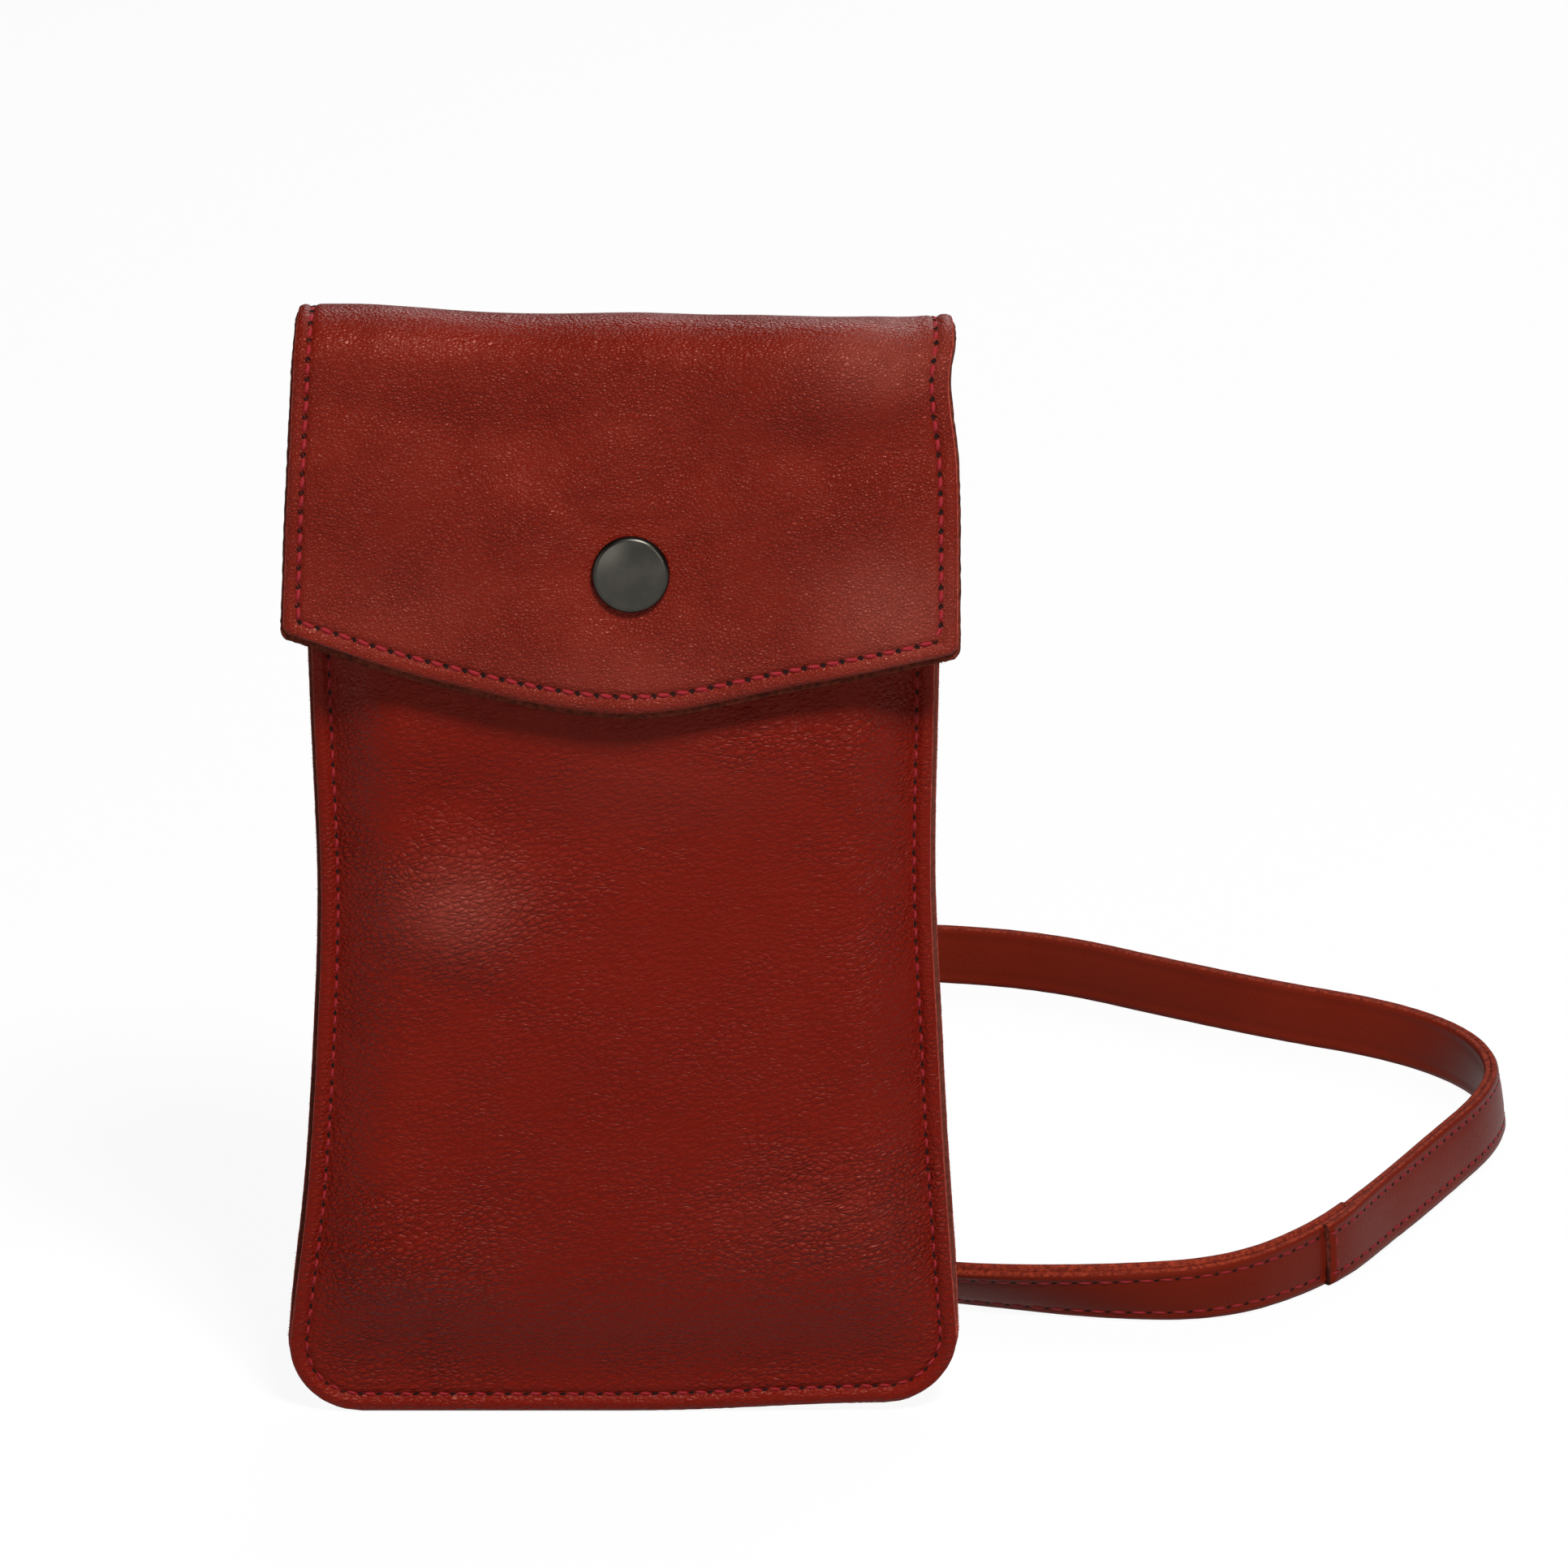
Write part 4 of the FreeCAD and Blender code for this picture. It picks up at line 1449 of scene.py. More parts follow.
    def seam_line(self) -> List[Flat]:
        """Draw the stitch line down the left, along the foot and up the right.

        Returns:
            Its flat places.
        """
        form = self.form
        line: List[Flat] = []
        z = form.mouth - self.seam_start
        while z > form.corner:
            line.append((form.stitch_inset - form.half(z), z))
            z -= self.seam_step
        radius = form.corner - form.stitch_inset
        middle = form.base_half - form.corner
        for step in range(self.corner_steps + 1):
            turn = math.radians(180.0 + 90.0 * step / self.corner_steps)
            line.append((-middle + radius * math.cos(turn), form.corner + radius * math.sin(turn)))
        shares = [step / self.foot_steps for step in range(1, self.foot_steps)]
        foot = [(-middle + 2.0 * middle * share, form.stitch_inset) for share in shares]
        return line + foot + [(-x, z) for x, z in reversed(line)]

    def build_stitches(self) -> List[Piece]:
        """Sew the seam as it shows on the front and on the back.

        Returns:
            The front row and the back row.
        """
        front = self.seam_line()
        back = [(x, z) for x, z in front if z < self.back_row_top]
        made = []
        for name, node, places, surface, outward in (
                ("seam_stitches_front", "seam_thread_front", front, self.front_point, -BACKWARD),
                ("seam_stitches_back", "seam_thread_back", back, self.back_point, BACKWARD)):
            row = [(surface(x, z), surface_normal(surface, (x, z), outward)) for x, z in places]
            made.append(settle(self.sewing.build(name, [row]), Body.POUCH, Slot.THREAD, node))
        return made

    def build_fuzz(self) -> Piece:
        """Leave loose fibres on the back leather's raw sides.

        Returns:
            The fibres.
        """
        fibres = Shape()
        for side in Side:
            line: Row = []
            for z in stepped(self.form.corner, self.form.mouth - self.fuzz_short, self.fuzz_step):
                edge = side.value * self.form.back_half(z)
                line.append((self.stood(edge, z, self.form.lining + self.fuzz_depth), ACROSS * side.value))
            Fuzz(seed=self.fuzz_seed + side.value).grow(fibres, line)
        return settle(fibres.piece("side_edge_fibres", (RAW_BACKING,)), Body.POUCH, Slot.LEATHER)


@dataclass(frozen=True)
class Wrap:
    """The leather that goes up the back, over the fold and down the flap, in millimetres.

    A place on it is (across, down): down is 0 where the fold ends at the flap, rises down
    the flap and falls over the fold to the back. Only the painted sheen swells, which hold where a
    painted highlight lightens the leather's colour, have their places as x and z.
    """

    radius: float = 8.5
    middle_y: float = 1.162
    middle_z: float = 181.5
    lean: float = 5.0
    longest: float = 56.5
    corner: float = 1.9
    snap: Flat = (1.5, 32.5)
    snap_dent: float = 0.55
    snap_reach: float = 5.0
    dent_reach: float = 5.5
    side_insets: Flat = (2.5, 3.0)
    low_inset: float = 3.7
    groove_over: float = 6.0
    lip: float = -0.5
    lip_span: Flat = (37.0, 57.0)
    soft_before: float = 4.0
    soft_after: float = 9.0
    step: float = 1.1
    edge_width: float = 106.0
    roll_reach: float = 1.2
    row_step: float = 0.8
    row_corner: float = 50.5
    row_ends: Flat = (0.4, 0.6)
    row_right: float = 50.0
    inner_relief: float = 0.5
    lower_edge: Line = ((-54, 43.6), (-30, 51.0), (1, 56.5), (28, 52.0), (54, 46.8))
    left_edge: Line = ((-28, 52.0), (-12, 51.7), (0, 52.3), (24, 53.7), (44, 54.6))
    right_edge: Line = ((-28, 52.6), (-6, 53.2), (2, 52.4), (16, 53.8), (44, 54.1))
    crest: Line = ((-52, 0.2), (-39, 0.0), (-19, -1.4), (5, -1.1), (36, -2.3), (52, -1.3))
    crest_down: float = -13.0
    crest_reach: float = 11.0
    relief: Tuple[Relief, ...] = (
        Swell((-38, 18), (14, 10), 0.8),
        Swell((-18, 10), (14, 8), -1.0),
        Swell((-1, 13), (7, 8), 0.7),
        Swell((10, 14), (7, 8), -0.8),
        Swell((33, 0), (13, 12), 2.2),
        Swell((46.5, -9), (4.5, 7), -1.0),
        Swell((37, 12.4), (16, 4.5), -0.7),
        Swell((34, 22), (18, 8), 0.8),
        Swell((-38, 36), (12, 8), -0.4),
        Swell((-12, 22), (9, 7), 0.6),
        Swell((-14, 44), (16, 6), 0.5),
        Swell((44, 46), (13, 10), 0.9),
        Crease((-8, 25.5), (12, 23.5), 1.1, 0.2),
        Crease((-11, 22), (9, 19.5), 1.2, 0.17),
        Crease((-2, 27), (-14, 17), 1.8, 0.3),
        Crease((4, 26), (9, 15), 1.8, 0.28),
        Crease((7, 30), (24, 24), 1.8, 0.26),
        Crease((-5, 33), (-22, 33), 1.8, 0.2),
        Crease((8, 36), (20, 41), 1.8, 0.18),
        Crease((-50, 4), (-24, 9), 2.4, 0.3),
        Crease((40, 10), (52, 5), 1.6, 0.3),
        Cloud(0.4, 26.0, 21.4),
        Cloud(0.16, 9.0, 5.6),
    )
    # Patches of painted sheen: the leather's colour is lightened there as a painted highlight.
    painted_sheen: Tuple[Swell, ...] = (
        Swell((42, 184), (12, 6), 0.28),
        Swell((43, 143), (11, 9), 0.3),
        Swell((2, 132), (24, 6), 0.1),
        Swell((-36, 142), (14, 8), 0.07),
    )

    @property
    def turn_end(self) -> float:
        """Where the fold's bend ends on the flap side, as down."""
        return -self.radius * math.radians(self.lean)

    @property
    def back_start(self) -> float:
        """Where the fold's bend ends on the back, as down."""
        return self.turn_end - self.radius * math.radians(180.0 - self.lean)

    def path(self, down: float) -> Spot:
        """Follow the leather's outer face.

        Args:
            down: Place along it.

        Returns:
            Its y and z, and the angle of its normal, 0 towards the front and 90 degrees up.
        """
        lean = math.radians(self.lean)
        if down >= self.turn_end:
            run = down - self.turn_end
            y = self.middle_y - self.radius * math.cos(lean) - run * math.sin(lean)
            return y, self.middle_z + self.radius * math.sin(lean) - run * math.cos(lean), lean
        if down >= self.back_start:
            angle = lean + (self.turn_end - down) / self.radius
            y = self.middle_y - self.radius * math.cos(angle)
            return y, self.middle_z + self.radius * math.sin(angle), angle
        return self.middle_y + self.radius, self.middle_z - (self.back_start - down), math.pi

    def lift(self, across: float, down: float) -> float:
        """Shape the leather's unevenness, which ends on the back.

        Args:
            across: Place across.
            down: Place along.

        Returns:
            How far the leather stands off its plain form.
        """
        soft = rise_of(self.relief, across, down)
        snap = math.hypot(across - self.snap[0], down - self.snap[1])
        soft -= self.snap_dent * bell(max(snap - self.snap_reach, 0.0), self.dent_reach)
        soft -= self.lip * ease(down, *self.lip_span)
        return soft * ease(down, self.back_start - self.soft_before, self.back_start + self.soft_after)

    def low(self, across: float) -> float:
        """The flap's lower edge at a place across, as down."""
        return through(self.lower_edge, across)

    def bounds(self, down: float) -> Flat:
        """The leather's left and right edges at a place along it."""
        return -through(self.left_edge, down), through(self.right_edge, down)

    def groove(self, across: float, down: float) -> float:
        """Pull the leather in along the stitches.

        Args:
            across: Place across.
            down: Place along.

        Returns:
            Depth of the groove.
        """
        left, right = self.bounds(down)
        side = min(across - left - self.side_insets[0], right - across - self.side_insets[1])
        below = self.low(across) - down - self.low_inset
        over = ease(down, self.back_start, self.back_start + self.groove_over)
        return GROOVE_DEPTH * bell(min(side, below), GROOVE_WIDTH) * over

    def point(self, across: float, down: float, depth: float = 0.0, relief: float = 1.0) -> Vector:
        """Point of the leather in metres.

        Args:
            across: Place across, in millimetres.
            down: Place along it, in millimetres.
            depth: How far under its outer face, in millimetres.
            relief: Share of its unevenness.

        Returns:
            The point.
        """
        y, z, angle = self.path(down)
        slack = through(self.crest, across) * bell(down - self.crest_down, self.crest_reach)
        off = slack + relief * (self.lift(across, down) - self.groove(across, down)) - depth
        return Vector((across, y - off * math.cos(angle), z + off * math.sin(angle))) * MM

    def grid(self, top: float, trim: Flat, depth: float, relief: float = 1.0, roll: float = 0.0) -> Grid:
        """Lay a grid over the leather from a place on the fold down to the flap's edge.

        Args:
            top: Where it starts, as down.
            trim: How much it stops short of the flap's sides and of its lower edge.
            depth: How far under the outer face.
            relief: Share of the unevenness.
            roll: How far its edges round off.

        Returns:
            Rows of points from the top down.
        """
        length = self.longest - top
        count = round((length - EDGE_STEPS[-1]) / self.step)
        shares = [(1.0 - EDGE_STEPS[-1] / length) * k / count for k in range(count)]
        shares += [1.0 - e / length for e in reversed(EDGE_STEPS)]
        found: Grid = []
        for share in shares:
            row = []
            for place in columns_of(self.step):
                low = self.low((place / GRID_SPAN - 0.5) * self.edge_width) - trim[1]
                down = top + (low - top) * share
                left, right = self.bounds(down)
                inset = trim[0] + corner_inset(self.corner, low - down)
                across = between(place, left + inset, right - inset)
                margin = min(across - left - inset, right - inset - across, low - down)
                sunk = depth + roll * clamp(1.0 - margin / self.roll_reach) ** 2
                row.append(self.point(across, down, sunk, relief))
            found.append(row)
        return found

    def side_line(self, side: Side, top: float) -> List[Flat]:
        """Draw one side of the flap's stitch line.

        Args:
            side: Which side.
            top: Where it starts, as down.

        Returns:
            Its places from the top down.
        """
        line: List[Flat] = []
        end = self.low(side.value * self.row_corner) - self.low_inset - self.row_ends[0]
        for down in stepped(top, end, self.row_step):
            left, right = self.bounds(down)
            across = left + self.side_insets[0] if side is Side.LEFT else right - self.side_insets[1]
            line.append((across, down))
        return line

    def stitch_row(self, top: float, depth: float, facing: float) -> Row:
        """Draw the flap's stitch line from the fold down the left, along the lower edge and up the right.

        Args:
            top: Where it starts and ends, as down.
            depth: How far under the outer face the stitches lie.
            facing: 1 for the outer side, -1 for the inner.

        Returns:
            Points with normals.
        """
        places = self.side_line(Side.LEFT, top)
        foot = stepped(places[-1][0] + self.row_ends[1], self.row_right, self.row_step)
        places += [(across, self.low(across) - self.low_inset) for across in foot]
        places += reversed(self.side_line(Side.RIGHT, top))
        relief = 1.0 if facing > 0.0 else self.inner_relief
        row = []
        for across, down in places:
            angle = self.path(down)[2]
            normal = Vector((0.0, -math.cos(angle), math.sin(angle))) * facing
            row.append((self.point(across, down, depth, relief), normal))
        return row


@dataclass
class BackAndFlap:
    """The back leather up to the fold, the fold, the flap with its backing, and their stitches.

    Sizes are in millimetres. A bend is given by the y and z of its start and its end.
    """

    form: PouchForm = PouchForm()
    wrap: Wrap = Wrap()
    sewing: Stitching = Stitching()
    leather: float = 1.3
    backing: float = 1.2
    glue: float = 0.03
    split: float = -21.0
    trim: Flat = (0.4, 1.1)
    panel_top: float = 173.0
    fold_rows: int = 16
    back_length: float = 187.0
    flap_width: float = 109.0
    flap_share: float = 0.92
    fold_pebbling: float = 0.7
    flap_pebbling: float = 0.85
    face_roll: float = 0.35
    between_relief: float = 0.8
    inside_relief: float = 0.6
    edge_bulge: float = 0.2
    backing_fuzz: float = 0.14
    inside_row_top: float = 2.0
    fuzz_span: Flat = (-52.0, 52.5)
    fuzz_step: float = 1.5
    fuzz_depth: float = 0.3
    fuzz_relief: float = 0.7
    fuzz_above: float = 2.0
    fuzz_seed: int = 3
    back_bend: Tuple[Flat, Flat] = ((9.66, 174.0), (8.4, 186.5))
    flap_bend: Tuple[Flat, Flat] = ((-5.6, 188.0), (-7.9, 175.0))

    def bend(self, piece: Piece, slot: Slot, *nodes: str) -> Piece:
        """Hide the CAD nodes that a piece replaces and bake its placement into its mesh.

        Args:
            piece: The piece.
            slot: The record's material slot; not used.
            nodes: CAD nodes that it replaces.

        Returns:
            The piece.
        """
        if nodes:
            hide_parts(*nodes)
        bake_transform(piece)
        return piece

    def build_back(self) -> Piece:
        """Make the back leather with the fold's rear part.

        Returns:
            The back leather.
        """
        panels = Panels(form=self.form)
        places = panels.places(self.form.back_half, self.panel_top, panels.fine_step)
        face, under = panels.faces(places, panels.back_point, BACKWARD, self.leather * MM)
        pebbling = [[self.form.pebbling(x, z) for x, z in row] for row in places]
        first = self.wrap.back_start - (self.wrap.middle_z - self.panel_top)
        for step in range(1, self.fold_rows + 1):
            down = first + (self.split - first) * step / self.fold_rows
            left, right = self.wrap.bounds(down)
            across = [between(place, left, right) for place in columns_of(panels.fine_step)]
            face.append([self.wrap.point(x, down) for x in across])
            under.append([self.wrap.point(x, down, self.leather) for x in across])
            pebbling.append([self.fold_pebbling] * len(across))
        back = LeatherSheet(
            "back_leather", face, under, pebbling, (FLAP_LEATHER, CUT_EDGE, POCKET_SUEDE),
            open_rim=OpenRim.LAST_ROW).build()
        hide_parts("back_panel")
        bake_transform(back)
        return back

    def build_flap(self) -> List[Piece]:
        """Make the flap's outer leather and its backing, both with the fold's front part.

        Returns:
            The outer leather and the backing.
        """
        face = self.wrap.grid(self.split, self.trim, 0.0, roll=self.face_roll)
        under = self.wrap.grid(self.split, self.trim, self.leather, self.between_relief)
        pebbling = [[self.flap_pebbling] * len(row) for row in face]
        outer = LeatherSheet(
            "flap_outer", face, under, pebbling, (FLAP_LEATHER, CUT_EDGE, BACKING),
            edge_bulge=self.edge_bulge * MM, open_rim=OpenRim.FIRST_ROW, painted_sheen=self.wrap.painted_sheen).build()
        start = self.leather + self.glue
        face = self.wrap.grid(self.split, (0.0, 0.0), start, self.between_relief)
        under = self.wrap.grid(self.split, (0.0, 0.0), start + self.backing, self.inside_relief)
        smooth = [[0.0] * len(row) for row in face]
        backing = LeatherSheet(
            "flap_backing", face, under, smooth, (RAW_BACKING, RAW_BACKING, BACKING),
            edge_bulge=self.edge_bulge * MM, edge_fuzz=self.backing_fuzz * MM,
            open_rim=OpenRim.FIRST_ROW).build()
        return [self.bend(outer, Slot.LEATHER, "flap_leather", "fold_leather"),
                self.bend(backing, Slot.LEATHER, "flap_backing_leather", "fold_backing")]

    def build_stitches(self) -> List[Piece]:
        """Sew the flap's stitches.

        Returns:
            The outer row and the inner row.
        """
        outside = self.sewing.build("flap_stitches_front", [self.wrap.stitch_row(self.split, 0.0, 1.0)])
        depth = self.leather + self.backing + self.glue
        row = self.wrap.stitch_row(self.inside_row_top, depth, -1.0)
        inside = self.sewing.build("flap_stitches_back", [row])
        return [self.bend(outside, Slot.THREAD, "flap_thread_front", "fold_threads"),
                self.bend(inside, Slot.THREAD, "flap_thread_back")]

    def build_fuzz(self) -> Piece:
        """Leave loose fibres on the backing's raw lower edge.

        Returns:
            The fibres.
        """
        line: Row = []
        depth = self.leather + self.fuzz_depth
        for across in stepped(*self.fuzz_span, self.fuzz_step):
            low = self.wrap.low(across)
            place = self.wrap.point(across, low, depth, self.fuzz_relief)
            above = self.wrap.point(across, low - self.fuzz_above, depth, self.fuzz_relief)
            line.append((place, (place - above).normalized()))
        fibres = Shape()
        Fuzz(seed=self.fuzz_seed).grow(fibres, line)
        return self.bend(fibres.piece("flap_edge_fibres", (RAW_BACKING,)), Slot.LEATHER)


def lathe(name: str, profile: Sequence[Flat], finish: Finish, steps: int = 72) -> Piece:
    """Turn a profile about the Y axis.

    Args:
        name: Name of the piece.
        profile: Pairs of radius and y in millimetres, from axis to axis.
        finish: Its finish.
        steps: Steps round.

    Returns:
        The turned piece at the origin.
    """
    shape = Shape()
    rings: List[List[int]] = []
    for radius, y in profile:
        first = len(shape.points)
        if radius == 0.0:
            rings.append([first] * steps)
            shape.points.append(Vector((0.0, y, 0.0)) * MM)
            continue
        rings.append(list(range(first, first + steps)))
        for step in range(steps):
            turn = 2.0 * math.pi * step / steps
            shape.points.append(Vector((radius * math.cos(turn), y, radius * math.sin(turn))) * MM)
    for low, high in zip(rings, rings[1:]):
        for step in range(steps):
            nxt = (step + 1) % steps
            corners = (low[nxt], low[step], high[step], high[nxt])
            shape.face(0, *dict.fromkeys(corners))
    return shape.piece(name, (finish,))


@dataclass
class Snap:
    """The snap: cap, socket and spring ring on the flap, stud and post on the front, in millimetres."""

    wrap: Wrap = Wrap()
    form: PouchForm = PouchForm()
    hinge: Spot = (0.0, -7.338, 181.3)
    stud_height: float = 148.924
    stack: float = 2.5
    cap_height: float = 1.7
    cap_sunk: float = 0.1
    cap_steps: int = 96
    dome_radius: float = 5.35
    dome_fall: float = 0.34
    dome_curve: float = 2.2
    dome_steps: int = 12
    rim_radius: float = 0.9
    rim_steps: int = 9
    cap_rear: Line = ((6.2, 0.0), (6.0, 0.42), (5.5, 0.5), (1.9, 0.5))
    ring_depth: float = 1.3
    ring_radius: float = 2.9
    ring_gap: float = 24.0
    ring_steps: int = 64
    wire_radius: float = 0.25
    wire_sides: int = 10
    socket_profile: Line = (
        (0.0, 0.0), (4.6, 0.0), (4.8, 0.2), (4.8, 1.2), (4.55, 1.5), (3.9, 1.6), (3.7, 1.8), (3.6, 2.1),
        (3.4, 2.2), (2.9, 2.15), (2.75, 2.0), (2.75, 1.65), (3.3, 1.65), (3.3, 0.95), (2.75, 0.95),
        (2.75, 0.5), (2.6, 0.4), (0.0, 0.4))
    stud_profile: Line = (
        (0.0, 0.6), (4.5, 0.6), (4.6, 0.5), (4.6, -0.2), (4.45, -0.36), (4.2, -0.4), (2.2, -0.45),
        (1.75, -0.6), (1.6, -0.85), (1.6, -1.1), (1.75, -1.25), (2.0, -1.45), (2.05, -1.7), (2.05, -2.1),
        (1.95, -2.32), (1.75, -2.45), (1.4, -2.5), (1.2, -2.4), (0.0, -2.35))
    post_profile: Line = (
        (0.0, 0.62), (1.5, 0.62), (1.5, 2.1), (4.2, 2.1), (4.45, 2.2), (4.5, 2.35), (4.35, 2.52), (4.0, 2.6),
        (0.0, 2.6))

    def seat(self, piece: Piece, depth: float) -> Piece:
        """Put a piece of the flap's half of the snap in its place.

        Args:
            piece: The piece.
            depth: How far it lies behind the flap's outer face.

        Returns:
            The piece.
        """
        across, down = self.wrap.snap
        lean = math.radians(self.wrap.lean)
        out = Vector((0.0, -math.cos(lean), math.sin(lean)))
        downward = Vector((0.0, -math.sin(lean), -math.cos(lean)))
        piece.location = (Vector(self.hinge) + ACROSS * across + downward * down - out * depth) * MM
        piece.rotation_euler = (-lean, 0.0, 0.0)
        return piece

    def cap_profile(self) -> List[Flat]:
        """Draw the cap's half section: a low dome with a rolled rim and a barrel behind.

        Returns:
            Pairs of radius and y.
        """
        top = self.cap_sunk - self.cap_height
        profile = [(0.0, top)]
        for step in range(1, self.dome_steps + 1):
            share = step / self.dome_steps
            profile.append((self.dome_radius * share, top + self.dome_fall * share ** self.dome_curve))
        for step in range(1, self.rim_steps + 1):
            turn = math.radians(90.0 * step / self.rim_steps)
            radius = self.dome_radius + self.rim_radius * math.sin(turn)
            profile.append((radius, top + self.dome_fall + self.rim_radius * (1.0 - math.cos(turn))))
        barrel = self.cap_rear[-1][0]
        return profile + list(self.cap_rear) + [(barrel, self.stack), (0.0, self.stack)]

    def build(self) -> List[Piece]:
        """Make all five pieces.

        Returns:
            The pieces.
        """
        cap = self.seat(lathe("snap_cap_metal", self.cap_profile(), GUNMETAL, self.cap_steps), 0.0)
        socket = self.seat(lathe("snap_socket_metal", self.socket_profile, GUNMETAL), self.stack)
        spring = self.seat(self.spring(), self.stack + self.ring_depth)
        stud = lathe("snap_stud_metal", self.stud_profile, GUNMETAL)
        post = lathe("snap_post_metal", self.post_profile, GUNMETAL)
        face = self.form.seam - self.form.lining - self.form.front_rise - self.form.leather
        for piece in (stud, post):
            piece.location = Vector((self.wrap.snap[0], face, self.stud_height)) * MM
        made = (
            (cap, Body.FLAP, "snap_cap"),
            (socket, Body.FLAP, "snap_socket"),
            (spring, Body.FLAP, "snap_spring"),
            (stud, Body.POUCH, "snap_stud"),
            (post, Body.POUCH, "snap_post"))
        return [settle(piece, body, Slot.METAL, node) for piece, body, node in made]

    def spring(self) -> Piece:
        """Make the split ring in the socket's groove.

        Returns:
            The ring at the origin.
        """
        shape = Shape()
        for step in range(self.ring_steps + 1):
            turn = math.radians(0.5 * self.ring_gap + (360.0 - self.ring_gap) * step / self.ring_steps)
            out = Vector((math.cos(turn), 0.0, math.sin(turn)))
            for side in range(self.wire_sides):
                angle = 2.0 * math.pi * side / self.wire_sides
                reach = self.ring_radius + self.wire_radius * math.cos(angle)
                shape.points.append((out * reach + BACKWARD * (self.wire_radius * math.sin(angle))) * MM)
        shape.tube(0, self.ring_steps + 1, self.wire_sides)
        return shape.piece("snap_spring_wire", (SPRING_STEEL,))


@dataclass(frozen=True)
class StrapFrame:
    """A place along the strap: its middle, its width's and thickness's directions, and the run up to it."""

    middle: Vector
    wide: Vector
    thick: Vector
    run: float

    def at(self, across: float, deep: float) -> Vector:
        """A point at places in millimetres across the width and through the thickness."""
        return self.middle + self.wide * (across * MM) + self.thick * (deep * MM)


@dataclass(frozen=True)
class Ply:
    """One ply of the strap over part of its run, in millimetres.

    side is 1 for the inner side of the loop and -1 for the outer one.
    """

    side: int
    start: float
    end: float
    inset: float = 0.0
    shift: float = 0.0
    lift: float = 0.0
    lift_from: float = 0.0
    lift_done: float = 4.0

    def frames(self, frames: Sequence[StrapFrame]) -> List[StrapFrame]:
        """The places along the strap that the ply covers."""
        return [f for f in frames if self.start <= f.run <= self.end]

    def lifted(self, run: float) -> float:
        """How far the ply stands off the one under it at a run."""
        return self.lift * ease(run, self.lift_from, self.end - self.lift_done) if self.lift else 0.0


